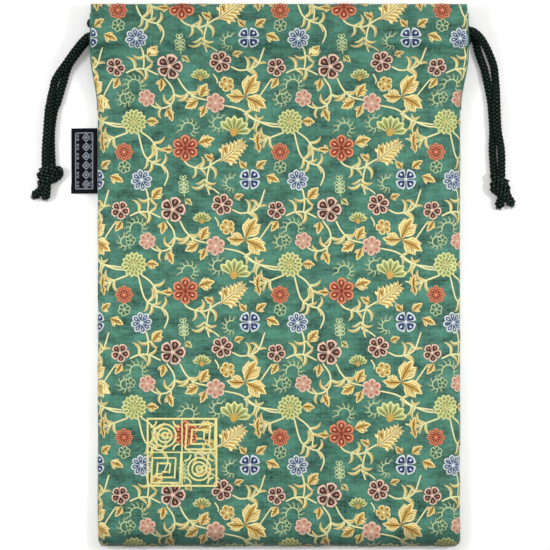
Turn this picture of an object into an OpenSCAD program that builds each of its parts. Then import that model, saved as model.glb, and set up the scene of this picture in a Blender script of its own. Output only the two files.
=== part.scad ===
// Lined drawstring gift pouch, lying on its back with the mouth towards +Y.
// X is across the pouch, +Z is up out of the front panel, and the pouch rests on Z = 0.
// The origin is the middle of the footprint of everything but the free cord ends.

/* [Pouch] */
// Width of the pouch between its side seams
pouch_w = 199; // [190:1:210]
// Height of the pouch from the bottom fold to the top fold
pouch_h = 297.5; // [285:0.5:310]
// Height of the shoulder of the front panel above the floor
body_loft = 9.8; // [9:0.1:11]
// Extra height of the front panel in the middle
body_dome = 1.4; // [0.5:0.1:2]
// Height of the side and bottom seams above the floor
seam_z = 4.5; // [4:0.1:5]
// Distance over which a panel rounds over to its seam
edge_round = 9; // [7:0.5:12]
// Radius of the bottom corners
corner_r = 3.5; // [2:0.5:6]

/* [Mouth] */
// Length of the open slit at the top of each side
slit_len = 57.3; // [50:0.1:62]
// How far each side flares out between the slit base and the casing
mouth_flare = 3.6; // [2:0.1:5]
// Height of the cord casing, from the top fold to its stitch line
casing_h = 25.5; // [24:0.1:27]
// Thickness of the flat pouch across both casings
casing_loft = 14.2; // [14:0.1:15]
// Distance over which the cloth turns over at the top fold
fold_round = 6.5; // [5:0.1:7]
// How far the turned-down hem stops short of the side of the casing
hem_set_back = 4.5; // [4.2:0.1:6]

/* [Cloth] */
// Thickness of the brocade
brocade_t = 0.6; // [0.5:0.05:0.7]
// Thickness of the lining
lining_t = 0.4; // [0.3:0.05:0.5]
// Clearance between two layers of cloth
layer_gap = 0.1; // [0.05:0.01:0.15]

/* [Drawcords] */
// Diameter of the braided drawcord
cord_d = 4.2; // [4:0.1:4.3]
// Thickness of the drawcord where the casing presses it flat
cord_flat = 3.4; // [3.2:0.1:3.5]
// Width of the drawcord where the casing presses it flat
cord_wide = 4.4; // [4.2:0.1:4.5]

/* [Trimmings] */
// Length of the folded woven label along the left seam
label_l = 36; // [30:1:40]
// How far the label stands out of the seam
label_out = 15.2; // [14:0.1:15.6]
// Thickness of the folded label
label_t = 0.9; // [0.7:0.1:1]
// Width of the gold seal on the front
seal_w = 38.6; // [30:0.1:44]
// Height of the gold seal on the front
seal_h = 37.6; // [30:0.1:44]
// Thickness of the gold seal
seal_t = 0.14; // [0.1:0.01:0.2]
// Length of one stitch
stitch_l = 2.2; // [1.8:0.1:2.6]
// Distance from one stitch to the next
stitch_pitch = 3.2; // [3:0.1:4]

/* [Hidden] */

brocade = "#4d8573";
lining = "#6f8f78";
cord_green = "#14201b";
label_black = "#1a1c26";
gold = "#cfa64a";

top_y = pouch_h / 2;
bottom_y = -pouch_h / 2;
slit_y = top_y - slit_len;
casing_y = top_y - casing_h;
// Clearance each side of the line where the front lip turns on the front panel
lip_gap = 0.15;
// Distance of a lining from the outer face of its panel
lining_in = brocade_t + layer_gap;

// Height of the front panel at the casing stitches, and depth of the dimple that they pull
casing_foot = 12.2;
stitch_dimple = 0.6;

// Thickness of a sewing thread, and distance of the seam threads from the edge
thread_t = 0.4;
seam_in = 1.9;
// Middle of the gold seal
seal_at = [-53.1, -96.7];

// The label leans from the seam down to the floor
label_hinge = [-pouch_w / 2 - 0.65, 63.3, seam_z];
label_lean = asin((seam_z - label_t / 2 - 0.05) / (label_out - label_t / 2));

// Middle heights of the cord in the back casing and in the front casing
back_cord_z = brocade_t + 0.15 + cord_flat / 2;
front_cord_z = casing_loft - back_cord_z;
// Thickness of one casing, and heights of its faces towards the mouth
casing_t = 2 * back_cord_z;

// Each drawcord turns back at the far side of the casing, this far from the middle
turn_x = 103.6;
turn_start = 99;
// It leaves the near side of the casing here
exit_x = 103.4;
// Each run inside a casing stops short of the turn and of the exit
turn_gap = 0.1;
exit_gap = 0.6;
// The front run, which the lip carries, stops this much shorter again at each end
run_gap = 0.4;
// Number of sides of a cord drawn as a tube
sides = 8;
// The box over the label and the far turn is centred on the origin
label_reach = -label_hinge[0] + label_out * cos(label_lean);
body_x = (label_reach - turn_x - cord_flat / 2) / 2;

// Where each drawcord crosses the casing: [Y at its turn, Y at its exit]
right_lane = [138.5, 134.4];
left_lane = [128.6, 130.8];

// Free strands of the right drawcord, from the casing to where they come together
right_front_route = [
    [103.4, 134.5, 11.5], [104.6, 134.4, 11.2], [107.4, 133.3, 9.6], [110.9, 130.3, 7.6],
    [114.2, 125.2, 5.4], [116.7, 120, 3.8], [118.6, 114.5, 2.4], [119.5, 106, 2.15],
];
right_back_route = [
    [103.4, 134.1, 2.8], [104.5, 133.9, 2.5], [107, 132.1, 2.15], [108.7, 128.3, 2.15],
    [109.6, 124.4, 2.15], [111.1, 119.8, 2.15], [113.2, 114, 2.15], [115, 106, 2.15],
];
// The same strands from there to the knot
right_front_end_route = [
    [119.7, 103.5, 2.4], [119.7, 96.5, 5.2], [119.8, 91, 5.8],
    [120.4, 80, 5.9], [122.3, 69, 4.5], [122.5, 54, 5],
];
right_back_end_route = [
    [115.5, 103.5, 2.15], [116.8, 96.5, 2.15], [117.4, 91, 2.15],
    [118.1, 80, 2.15], [117.8, 69, 2.15], [118.9, 54, 2.3],
];
// Free strands of the left drawcord, in the same order
left_front_route = [
    [-103.4, 131.2, 11.5], [-104.6, 131, 11.1], [-108.2, 127.8, 9.6], [-112.3, 123, 7.8],
    [-116.9, 116.9, 6.3], [-121.2, 111.3, 4.4], [-123.6, 107.3, 2.7], [-124.6, 103, 2.15],
];
left_back_route = [
    [-103.4, 130.8, 2.8], [-104.5, 130.5, 2.5], [-108.2, 126.9, 2.15], [-111.4, 122.7, 2.15],
    [-115.3, 117.2, 2.15], [-117.4, 112, 2.15], [-118.7, 107.3, 2.15], [-120, 103, 2.15],
];
left_front_end_route = [
    [-125.2, 100.5, 2.4], [-126, 95.5, 4.6], [-126.8, 90.5, 5.7],
    [-127.6, 80, 5.9], [-128.4, 69, 5.5], [-128.6, 58, 4.8],
];
left_back_end_route = [
    [-120.7, 100.5, 2.15], [-122.3, 95.5, 2.15], [-124.1, 90.5, 2.15],
    [-125.6, 80, 2.15], [-125.6, 69, 2.15], [-125, 58, 2.4],
];

// ---- cloth surfaces ----

function smooth(t) = let(c = min(max(t, 0), 1)) c * c * (3 - 2 * c);

// Quarter-ellipse rise: 0 at an edge and 1 once s reaches r
function rise(s, r) = s >= r ? 1 : s <= 0 ? 0 : sqrt(1 - pow(1 - s / r, 2));

// Half the width of the pouch at a height on it
function half_width(y) = pouch_w / 2 + mouth_flare * smooth((y - slit_y) / (casing_y - slit_y));

// 1 where the sides are sewn together, falling to 0 up the open slit
function sewn(y) = 1 - smooth((y - slit_y) / 24);

// How far a panel has risen from its side and bottom seams, i inside its outer face
function from_seam(x, y, i) =
    (1 - sewn(y) * (1 - rise(half_width(y) - i - abs(x), edge_round - i)))
    * rise(y - bottom_y - i, edge_round - i);

// How far a panel has opened from its top fold
function from_fold(y, i) = rise(top_y - i - y, fold_round - i);

// Depth of the dimple along the casing stitches
function dimple(y) = stitch_dimple * (1 - smooth(abs(y - casing_y) / 2.2));

// Height of the outer face of the front panel above the floor, away from its edges
function front_loft(x, y) =
    body_loft + (casing_foot - body_loft) * smooth((y - 40) / (casing_y - 40))
    + body_dome * (1 - pow(x / half_width(y), 2)) * (1 - smooth((y - 50) / 60))
    + (casing_loft - casing_foot) * smooth((y - casing_y - 0.5) / 3.5)
    - dimple(y);

// Where a row at y lies, i inside the outer face: rows close up towards the bottom and the fold
function inset_row(y, i) =
    y + i * max(0, 1 - (y - bottom_y) / edge_round) - i * max(0, 1 - (top_y - y) / fold_round);

// Point of the front panel, i inside its outer face: u runs from -1 to 1 across the pouch
function front_point(u, y, i) =
    let(
        py = inset_row(y, i),
        x = (half_width(py) - i) * sin(90 * u),
        z = seam_z + layer_gap / 2
            + (front_loft(x, py) - i - seam_z - layer_gap / 2) * from_seam(x, py, i)
    )
    [x, rounded(x, py, i), front_cord_z + (z - front_cord_z) * from_fold(py, i)
        + (1 - from_fold(py, i)) * 0.05];

// Point of the back panel, the same way up from the floor
function back_point(u, y, i) =
    let(
        py = inset_row(y, i),
        x = (half_width(py) - i) * sin(90 * u),
        z = seam_z - layer_gap / 2
            - (seam_z - layer_gap / 2 - i - dimple(py)) * from_seam(x, py, i)
    )
    [x, rounded(x, py, i), back_cord_z + (z - back_cord_z) * from_fold(py, i)
        - (1 - from_fold(py, i)) * 0.05];

// The bottom corners are rounded by lifting the rows near the bottom
function rounded(x, y, i) =
    let(r = corner_r - i, in = max(abs(x) - (pouch_w / 2 - corner_r), 0))
    y + (r - sqrt(max(r * r - in * in, 0))) * (1 - smooth((y - bottom_y) / 12));

// Distance of a hem from the outer face of its panel: it dips around the cords
function hem_depth(y) =
    brocade_t + layer_gap
    + (casing_t - 2 * brocade_t - layer_gap) * smooth((y - casing_y - 0.5) / 3.2);

// Point of the turned-down front hem, i above its face towards the mouth
function front_hem_point(u, y, i) =
    let(
        py = inset_row(y, i),
        low = front_loft(0, py) - hem_depth(py) - brocade_t + i
    )
    [
        (half_width(py) - hem_set_back) * u, py,
        front_cord_z + (low - front_cord_z) * from_fold(py, i)
    ];

// Point of the turned-down back hem, i below its face towards the mouth
function back_hem_point(u, y, i) =
    let(
        py = inset_row(y, i),
        high = dimple(py) + hem_depth(py) + brocade_t - i
    )
    [
        (half_width(py) - hem_set_back) * u, py,
        back_cord_z + (high - back_cord_z) * from_fold(py, i)
    ];

// Rows of a cloth grid: close together where the cloth rounds over
function edge_rows(start, length, count) =
    [for (k = [0 : count]) start + length * (1 - cos(90 * k / count))];
function even_rows(a, b, count) = [for (k = [0 : count]) a + (b - a) * k / count];
function fold_rows(count) =
    [for (k = [0 : count]) top_y - fold_round * (1 - sin(90 * k / count))];

body_rows = concat(edge_rows(bottom_y, edge_round, 5), even_rows(bottom_y + 22, slit_y - lip_gap, 11));
lip_rows = even_rows(slit_y + lip_gap, casing_y - 2.4, 5);
casing_rows = concat(even_rows(casing_y - 1.2, casing_y + 4.8, 5), [casing_y + 11], fold_rows(5));

// A sheet of cloth between two surfaces of points, with one row for each entry of rows
module cloth(rows, across, upper, lower) {
    n = across + 1;
    m = len(rows);
    top = [for (y = rows) for (k = [0 : across]) upper(2 * k / across - 1, y)];
    low = [for (y = rows) for (k = [0 : across]) lower(2 * k / across - 1, y)];
    cells = [for (j = [0 : m - 2]) for (k = [0 : across - 1]) j * n + k];
    rim = concat(
        [for (k = [0 : across]) k],
        [for (j = [1 : m - 1]) j * n + across],
        [for (k = [across - 1 : -1 : 0]) (m - 1) * n + k],
        [for (j = [m - 2 : -1 : 1]) j * n]
    );
    r = len(rim);
    polyhedron(
        points = concat(top, low),
        faces = concat(
            [for (k = [0 : r - 1]) [rim[k], rim[(k + 1) % r], m * n + rim[k]]],
            [for (k = [0 : r - 1]) [rim[(k + 1) % r], m * n + rim[(k + 1) % r], m * n + rim[k]]],
            [for (c = cells) [c, c + n, c + 1]],
            [for (c = cells) [c + 1, c + n, c + n + 1]],
            [for (c = cells) [m * n + c, m * n + c + 1, m * n + c + n]],
            [for (c = cells) [m * n + c + 1, m * n + c + n + 1, m * n + c + n]]
        )
    );
}

// Moves a piece drawn about the middle of the pouch into the part's own frame
module placed() {
    translate([body_x, 0, 0]) children();
}

module back_panel() {
    color(brocade) placed()
        cloth(concat(body_rows, lip_rows, casing_rows), 24,
            function (u, y) back_point(u, y, brocade_t), function (u, y) back_point(u, y, 0));
}

module front_panel() {
    color(brocade) placed()
        cloth(body_rows, 24,
            function (u, y) front_point(u, y, 0), function (u, y) front_point(u, y, brocade_t));
}

module front_lip() {
    color(brocade) placed()
        cloth(concat(lip_rows, casing_rows), 24,
            function (u, y) front_point(u, y, 0), function (u, y) front_point(u, y, brocade_t));
}

module front_hem() {
    color(brocade) placed()
        cloth(casing_rows, 12,
            function (u, y) front_hem_point(u, y, brocade_t), function (u, y) front_hem_point(u, y, 0));
}

module back_hem() {
    color(brocade) placed()
        cloth(casing_rows, 12,
            function (u, y) back_hem_point(u, y, 0), function (u, y) back_hem_point(u, y, brocade_t));
}

module back_lining() {
    color(lining) placed()
        cloth(concat(body_rows, lip_rows), 24,
            function (u, y) back_point(u, y, lining_in + lining_t),
            function (u, y) back_point(u, y, lining_in));
}

module front_lining() {
    color(lining) placed()
        cloth(body_rows, 24,
            function (u, y) front_point(u, y, lining_in),
            function (u, y) front_point(u, y, lining_in + lining_t));
}

module front_lip_lining() {
    color(lining) placed()
        cloth(lip_rows, 24,
            function (u, y) front_point(u, y, lining_in),
            function (u, y) front_point(u, y, lining_in + lining_t));
}

// ---- threads, seal and label ----

module stitch_row(count, pitch, size) {
    for (k = [0 : count - 1])
        translate([(k - (count - 1) / 2) * pitch, 0, 0]) cube(size, center = true);
}

module casing_stitches(z) {
    count = 2 * floor((half_width(casing_y) - hem_set_back) / stitch_pitch) - 1;
    color(brocade) placed() translate([0, casing_y, z])
        stitch_row(count, stitch_pitch, [stitch_l, thread_t, thread_t]);
}

module front_casing_stitches() {
    casing_stitches(front_loft(0, casing_y) + layer_gap + thread_t / 2);
}

module back_casing_stitches() {
    casing_stitches(stitch_dimple - layer_gap - thread_t / 2);
}

module side_seam_thread(side) {
    count = floor((slit_y - bottom_y - 2 * seam_in) / stitch_pitch);
    color(brocade) placed()
        translate([side * (pouch_w / 2 - seam_in), (slit_y + bottom_y) / 2, seam_z]) rotate(90)
        stitch_row(count, stitch_pitch, [stitch_l, thread_t, thread_t]);
}

module left_seam_thread() {
    side_seam_thread(-1);
}

module right_seam_thread() {
    side_seam_thread(1);
}

module bottom_seam_thread() {
    count = floor((pouch_w - 4 * edge_round) / stitch_pitch);
    color(brocade) placed() translate([0, bottom_y + seam_in, seam_z])
        stitch_row(count, stitch_pitch, [stitch_l, thread_t, thread_t]);
}

// A thin leaf that follows the front panel
module gold_seal() {
    function leaf(u, v, i) =
        let(x = seal_at[0] + u * seal_w / 2, y = v)
        [x, y, front_loft(x, y) + layer_gap + i];
    color(gold) placed()
        cloth(even_rows(seal_at[1] - seal_h / 2, seal_at[1] + seal_h / 2, 6), 6,
            function (u, y) leaf(u, y, seal_t), function (u, y) leaf(u, y, 0));
}

// A tape folded in half, with its fold away from the seam
module woven_label() {
    color(label_black) placed() translate(label_hinge) rotate([90, label_lean, 180])
        linear_extrude(label_l, center = true) {
            translate([0, -label_t / 2]) square([label_out - label_t / 2, label_t]);
            translate([label_out - label_t / 2, 0]) circle(d = label_t, $fn = 24);
        }
}

// ---- drawcords ----

function unit(v) = v / norm(v);

// Direction of a route at one of its points
function along(route, k) =
    unit(route[min(k + 1, len(route) - 1)] - route[max(k - 1, 0)]);

// Ring of points about one point of a route: half as wide as w, half as thick as t
function ring(route, k, w, t) =
    let(
        d = along(route, k),
        flat_axis = abs(d[1]) > 0.9 ? [1, 0, 0] : [0, 1, 0],
        up = unit(cross(d, flat_axis)),
        out = cross(up, d)
    )
    [for (a = [0 : sides - 1]) let(g = 360 * (a + 0.5) / sides)
        route[k] + out * cos(g) * w / 2 + up * sin(g) * t / 2];

// A tube swept along a route, with one ring at each of its points
module tube(route, w, t) {
    n = len(route);
    rings = [for (k = [0 : n - 1]) each ring(route, k, w, t)];
    walls = [for (k = [0 : n - 2]) for (a = [0 : sides - 1])
        let(b = (a + 1) % sides, i = k * sides, j = i + sides)
        each [[i + a, j + a, i + b], [i + b, j + a, j + b]]];
    polyhedron(
        points = rings,
        faces = concat(
            [[for (a = [0 : sides - 1]) a]],
            [[for (a = [sides - 1 : -1 : 0]) (n - 1) * sides + a]],
            walls
        )
    );
}

module strand(route) {
    color(cord_green) placed() tube(route, cord_d, cord_d);
}

// A drawcord pressed flat inside a casing, from its turn to its exit
module run(lane, side, z, from_x, to_x) {
    color(cord_green) placed()
        tube([[-side * from_x, lane[0], z], [side * to_x, lane[1], z]], cord_wide, cord_flat);
}

// The turn from the front casing back into the back casing, round the far side
module turn(y, side) {
    bend = 2.3;
    half = [
        [turn_start, back_cord_z], [turn_x - bend, back_cord_z],
        [turn_x - 0.3 * bend, back_cord_z + 0.3 * bend], [turn_x, back_cord_z + bend],
    ];
    route = concat(
        [for (p = half) [side * p[0], y, p[1]]],
        [for (k = [3 : -1 : 0]) [side * half[k][0], y, casing_loft - half[k][1]]]
    );
    color(cord_green) placed() tube(route, cord_wide, cord_flat);
}

module right_back_run() {
    run(right_lane, 1, back_cord_z, turn_start - turn_gap, exit_x - exit_gap);
}

module right_front_run() {
    run(right_lane, 1, front_cord_z, turn_start - run_gap, exit_x - exit_gap - run_gap);
}

module right_turn() {
    turn(right_lane[0], -1);
}

module left_back_run() {
    run(left_lane, -1, back_cord_z, turn_start - turn_gap, exit_x - exit_gap);
}

module left_front_run() {
    run(left_lane, -1, front_cord_z, turn_start - run_gap, exit_x - exit_gap - run_gap);
}

module left_turn() {
    turn(left_lane[0], 1);
}

module right_front_strand() {
    strand(right_front_route);
}

module right_back_strand() {
    strand(right_back_route);
}

module right_front_end() {
    strand(right_front_end_route);
}

module right_back_end() {
    strand(right_back_end_route);
}

module left_front_strand() {
    strand(left_front_route);
}

module left_back_strand() {
    strand(left_back_route);
}

module left_front_end() {
    strand(left_front_end_route);
}

module left_back_end() {
    strand(left_back_end_route);
}

// An overhand knot in both strands, rounded over its lobes
module knot(lobes) {
    color(cord_green) placed()
        hull() for (p = lobes) translate(p) sphere(p[2], $fn = 20);
}

module right_knot() {
    knot([[119.4, 51, 4.4], [124.6, 49.8, 4.5], [122.6, 46.4, 4.2]]);
}

module left_knot() {
    knot([[-129.6, 53.6, 4.3], [-123.4, 56.4, 4.4], [-126.6, 54.4, 4.7]]);
}

// A cord's cut end, from the knot to its tip
module cut_end(from, to) {
    way = to - from;
    color(cord_green) placed() translate(from)
        rotate([0, acos(way[2] / norm(way)), atan2(way[1], way[0])])
        cylinder(h = norm(way), d = cord_d, $fn = 16);
}

module right_cut_ends() {
    cut_end([123, 46, 3], [123.2, 35.6, 2.2]);
    cut_end([124.6, 48, 5.2], [130, 39.6, 2.2]);
}

module left_cut_ends() {
    cut_end([-129, 52, 3], [-136.6, 42, 2.2]);
    cut_end([-127.6, 52, 6.6], [-129.6, 41.2, 2.2]);
}

back_panel();
back_hem();
back_lining();
front_panel();
front_lining();
left_seam_thread();
right_seam_thread();
bottom_seam_thread();
back_casing_stitches();
gold_seal();
front_lip();
front_hem();
front_lip_lining();
front_casing_stitches();
woven_label();
right_back_run();
right_front_run();
right_turn();
right_front_strand();
right_back_strand();
right_front_end();
right_back_end();
right_knot();
right_cut_ends();
left_back_run();
left_front_run();
left_turn();
left_front_strand();
left_back_strand();
left_front_end();
left_back_end();
left_knot();
left_cut_ends();
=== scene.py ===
"""Looks of a lined brocade pouch with two drawcords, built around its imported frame.

Shapes are worked out in millimetres about the middle of the pouch: x across, y up towards the mouth, z off
the floor. placed() turns them into metres in the frame.
"""

import math

import bpy
import numpy as np
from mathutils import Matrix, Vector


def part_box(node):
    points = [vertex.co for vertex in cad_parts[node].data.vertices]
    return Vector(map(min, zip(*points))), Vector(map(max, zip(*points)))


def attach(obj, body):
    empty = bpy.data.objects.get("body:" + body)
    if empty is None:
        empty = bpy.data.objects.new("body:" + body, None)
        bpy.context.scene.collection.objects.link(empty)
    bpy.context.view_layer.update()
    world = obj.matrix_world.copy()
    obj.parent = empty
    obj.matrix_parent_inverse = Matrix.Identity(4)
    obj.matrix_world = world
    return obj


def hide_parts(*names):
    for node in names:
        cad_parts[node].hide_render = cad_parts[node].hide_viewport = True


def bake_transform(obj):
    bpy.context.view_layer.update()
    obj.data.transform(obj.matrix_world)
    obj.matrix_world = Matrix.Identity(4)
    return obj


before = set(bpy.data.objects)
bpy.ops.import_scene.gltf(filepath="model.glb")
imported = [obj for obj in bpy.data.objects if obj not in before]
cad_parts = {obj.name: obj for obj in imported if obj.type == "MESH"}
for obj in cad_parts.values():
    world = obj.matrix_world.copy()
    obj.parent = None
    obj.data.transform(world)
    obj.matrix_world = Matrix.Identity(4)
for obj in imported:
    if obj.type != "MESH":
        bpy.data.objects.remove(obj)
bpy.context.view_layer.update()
MM = 0.001


def box_mm(node):
    """Lowest and highest corner of a CAD node, in millimetres."""
    return tuple(np.array(corner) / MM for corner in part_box(node))


PANEL = box_mm("front_panel")
LIP = box_mm("front_lip")
STITCHES = box_mm("front_casing_stitches")
SEAL = box_mm("gold_seal")
LABEL = box_mm("woven_label")
MIDDLE = (PANEL[0][0] + PANEL[1][0]) / 2
HALF_W = (PANEL[1][0] - PANEL[0][0]) / 2
FLARE = (LIP[1][0] - LIP[0][0]) / 2 - HALF_W
TOP = LIP[1][1]
BOTTOM = PANEL[0][1]
SLIT = LIP[0][1]
CASING = (STITCHES[0][1] + STITCHES[1][1]) / 2
SEAM_Z = PANEL[0][2]
THICK = LIP[1][2]

# Cloth and cord sizes
BROCADE = 0.55
LINING = 0.35
CORD = 4.2
STRANDS = 4
PLAIT_PITCH = 8.4
BAND_TURNS = 1.45
LOFT = 9.8
DOME = 1.4
FOOT = 12.2
EDGE_ROUND = 9.0
FOLD_ROUND = 6.5
CORNER = 3.5
CORD_Z = 2.45
HEM_END = CASING - 1.2
HEM_IN = 4.5
STITCH = 2.2
STITCH_STEP = 3.2
THREAD_WIDE = 0.4


def placed(points):
    """Millimetres about the middle of the pouch to metres in the frame."""
    return (np.asarray(points, float) + [MIDDLE, 0, 0]) * MM


# ---- camera and light ----


def look_down():
    """Camera straight above the pouch, with +Y up the picture."""
    height, field, level = 1250, 302.0, 8.0
    data = bpy.data.cameras.new("camera")
    data.sensor_width = 36
    data.lens = 36 * (height - level) / field
    data.clip_start, data.clip_end = 0.01, 10
    camera = bpy.data.objects.new("camera", data)
    camera.location = placed([-2.2, 0.4, height])
    bpy.context.scene.collection.objects.link(camera)
    bpy.context.scene.camera = camera


def soft_box(name, place, aim, size, power, spread=180):
    """A square light at place, turned towards aim, with a grid that narrows it to a spread in degrees."""
    data = bpy.data.lights.new(name, "AREA")
    data.shape, data.size, data.energy = "SQUARE", size, power
    data.spread = math.radians(spread)
    light = bpy.data.objects.new(name, data)
    light.location = place
    way = np.array(aim) - np.array(place)
    light.rotation_euler = (
        math.atan2(math.hypot(way[0], way[1]), -way[2]),
        0,
        math.atan2(way[1], way[0]) - math.pi / 2,
    )
    bpy.context.scene.collection.objects.link(light)


def studio():
    """White room light, dimmer below the foot, and soft boxes past the mouth, overhead and at the sides."""
    world = bpy.data.worlds.new("room")
    bpy.context.scene.world = world
    world.use_nodes = True
    tree = world.node_tree
    way = node(tree, "ShaderNodeTexCoord").outputs["Generated"]
    up_the_picture = node(tree, "ShaderNodeSeparateXYZ", None, Vector=way).outputs[1]
    back = tree.nodes["Background"]
    back.inputs["Color"].default_value = (1.0, 1.0, 0.98, 1)
    feed(tree, back.inputs["Strength"], span(tree, up_the_picture, -0.8, 0.2, 0.16, 0.54))
    soft_box("window", (-0.1, 0.95, 1.05), (0, 0, 0), 0.9, 2.3)
    soft_box("overhead", (0.1, -0.05, 1.5), (0, -0.1, 0), 0.7, 3.0)
    for side in (-1, 1):
        soft_box("side", (side * 0.55, 0.1, 0.62), (side * 0.15, 0.0, 0), 0.14, 0.32, 60)
    bpy.context.scene.view_settings.view_transform = "Standard"


# ---- meshes ----


def surface(name, points, closed=False, caps=False, uv=None, colour=None, keep=None):
    """A piece from grids of points shaped (grids, rows, columns, 3) or (rows, columns, 3), in millimetres.

    Each cell between neighbouring rows and columns is a face. closed joins the last column to the first, and
    caps shuts both ends of a closed grid. uv has one more column than points where the grid is closed. keep
    says which points may carry faces: a cell with none of them is left out, as are points that no face uses.
    """
    points = np.asarray(points, float)
    if points.ndim == 3:
        points = points[None]
    grids, rows, columns = points.shape[:3]
    index = np.arange(grids * rows * columns).reshape(grids, rows, columns)
    ring = np.concatenate([index, index[:, :, :1]], 2) if closed else index
    corners = [ring[:, :-1, :-1], ring[:, :-1, 1:], ring[:, 1:, 1:], ring[:, 1:, :-1]]
    faces = np.stack(corners, -1).reshape(-1, 4)
    if uv is not None:
        uv = np.asarray(uv, float)
        if uv.ndim == 3:
            uv = uv[None]
        around = [uv[:, :-1, :-1], uv[:, :-1, 1:], uv[:, 1:, 1:], uv[:, 1:, :-1]]
        uv = np.stack(around, -2).reshape(-1, 4, 2)
    if keep is not None:
        good = keep.reshape(-1)[faces].any(1)
        faces = faces[good]
        uv = None if uv is None else uv[good]
    used, faces = np.unique(faces, return_inverse=True)
    faces = faces.reshape(-1, 4)
    rim = []
    if caps:
        rim = index[:, 0, ::-1].tolist() + index[:, -1].tolist()
    mesh = bpy.data.meshes.new(name)
    mesh.from_pydata(placed(points.reshape(-1, 3)[used]).tolist(), [], faces.tolist() + rim)
    mesh.polygons.foreach_set("use_smooth", np.ones(len(mesh.polygons), bool))
    if uv is not None:
        flat = np.zeros((len(mesh.loops), 2), np.float32)
        flat[: uv.size // 2] = uv.reshape(-1, 2)
        mesh.uv_layers.new(name="lay").data.foreach_set("uv", flat.ravel())
    if colour is not None:
        shades = np.ones((len(used), 4), np.float32)
        shades[:, :3] = np.asarray(colour).reshape(-1, 3)[used]
        mesh.attributes.new("yarn", "FLOAT_COLOR", "POINT").data.foreach_set("color", shades.ravel())
    mesh.update()
    piece = bpy.data.objects.new(name, mesh)
    bpy.context.scene.collection.objects.link(piece)
    return piece


def unit(v):
    """Vectors of length 1 along v."""
    return v / np.maximum(np.linalg.norm(v, axis=-1, keepdims=True), 1e-9)


def smooth(t):
    """3t² - 2t³ between 0 and 1, and flat outside."""
    c = np.clip(t, 0, 1)
    return c * c * (3 - 2 * c)


def rise(s, r):
    """Quarter circle from 0 at an edge to 1 at r inside it."""
    return np.sqrt(np.clip(1 - (1 - np.clip(s / r, 0, 1)) ** 2, 0, 1))


def smooth_path(points, step):
    """A Catmull-Rom curve through points, with points every step along it."""
    points = np.asarray(points, float)
    ends = np.vstack([2 * points[0] - points[1], points, 2 * points[-1] - points[-2]])
    t = np.linspace(0, len(points) - 1, 60 * len(points))
    k = np.minimum(t.astype(int), len(points) - 2)
    f = (t - k)[:, None]
    a, b, c, d = ends[k], ends[k + 1], ends[k + 2], ends[k + 3]
    curve = 0.5 * (
        2 * b + (c - a) * f + (2 * a - 5 * b + 4 * c - d) * f**2 + (3 * b - a - 3 * c + d) * f**3
    )
    run = np.concatenate([[0], np.cumsum(np.linalg.norm(np.diff(curve, axis=0), axis=1))])
    count = max(2, int(round(run[-1] / step)) + 1)
    even = np.linspace(0, run[-1], count)
    return np.stack([np.interp(even, run, curve[:, i]) for i in range(points.shape[1])], 1)


def path_length(path):
    """Length of a line through points."""
    return float(np.linalg.norm(np.diff(path, axis=0), axis=1).sum())


# ---- shader nodes ----


def linear(r, g, b):
    """A display colour of 0 to 255 as linear light."""
    c = np.array([r, g, b]) / 255
    return tuple(np.where(c <= 0.04045, c / 12.92, ((c + 0.055) / 1.055) ** 2.4))


def feed(tree, socket, value):
    """Puts a number, a colour or another node's output into a socket."""
    if isinstance(value, bpy.types.NodeSocket):
        tree.links.new(value, socket)
    elif isinstance(value, tuple) and len(value) == 3 and socket.type == "RGBA":
        socket.default_value = (*value, 1)
    else:
        socket.default_value = value


def node(tree, kind, settings=None, **inputs):
    """A node with its settings, and its inputs by name."""
    made = tree.nodes.new(kind)
    for key, value in (settings or {}).items():
        setattr(made, key, value)
    for key, value in inputs.items():
        feed(tree, made.inputs[key.replace("_", " ")], value)
    return made


def calc(tree, operation, a, b=0.0, c=0.0):
    """A Math node."""
    made = tree.nodes.new("ShaderNodeMath")
    made.operation = operation
    for socket, value in zip(made.inputs, (a, b, c)):
        feed(tree, socket, value)
    return made.outputs[0]


def mix(tree, factor, a, b, kind="MIX"):
    """A colour Mix node."""
    made = tree.nodes.new("ShaderNodeMix")
    made.data_type, made.blend_type = "RGBA", kind
    for socket, value in zip((made.inputs[0], made.inputs[6], made.inputs[7]), (factor, a, b)):
        feed(tree, socket, value)
    return made.outputs[2]


def span(tree, value, low, high, to_low=0.0, to_high=1.0):
    """Map Range from low..high to to_low..to_high, clamped."""
    limits = {"From_Min": low, "From_Max": high, "To_Min": to_low, "To_Max": to_high}
    return node(tree, "ShaderNodeMapRange", None, Value=value, **limits).outputs[0]


def noise(tree, vector, scale, detail=2.0, rough=0.5):
    """A noise texture's value."""
    return node(
        tree, "ShaderNodeTexNoise", None, Vector=vector, Scale=scale, Detail=detail, Roughness=rough
    ).outputs[0]


def stretched(tree, vector, scale):
    """The vector scaled by different amounts along its axes."""
    return node(tree, "ShaderNodeMapping", None, Vector=vector, Scale=scale).outputs[0]


def group(name, inputs, outputs):
    """A shader node group with named sockets, with the sockets that give its inputs and take its outputs."""
    tree = bpy.data.node_groups.new(name, "ShaderNodeTree")
    for label, kind, value in inputs:
        socket = tree.interface.new_socket(label, in_out="INPUT", socket_type=kind)
        if value is not None:
            socket.default_value = value
    for label, kind in outputs:
        tree.interface.new_socket(label, in_out="OUTPUT", socket_type=kind)
    return tree, tree.nodes.new("NodeGroupInput").outputs, tree.nodes.new("NodeGroupOutput").inputs


def use(tree, grouped, **inputs):
    """The outputs of a node group, with its inputs by name."""
    made = tree.nodes.new("ShaderNodeGroup")
    made.node_tree = grouped
    for key, value in inputs.items():
        feed(tree, made.inputs[key.replace("_", " ")], value)
    return made.outputs


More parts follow.
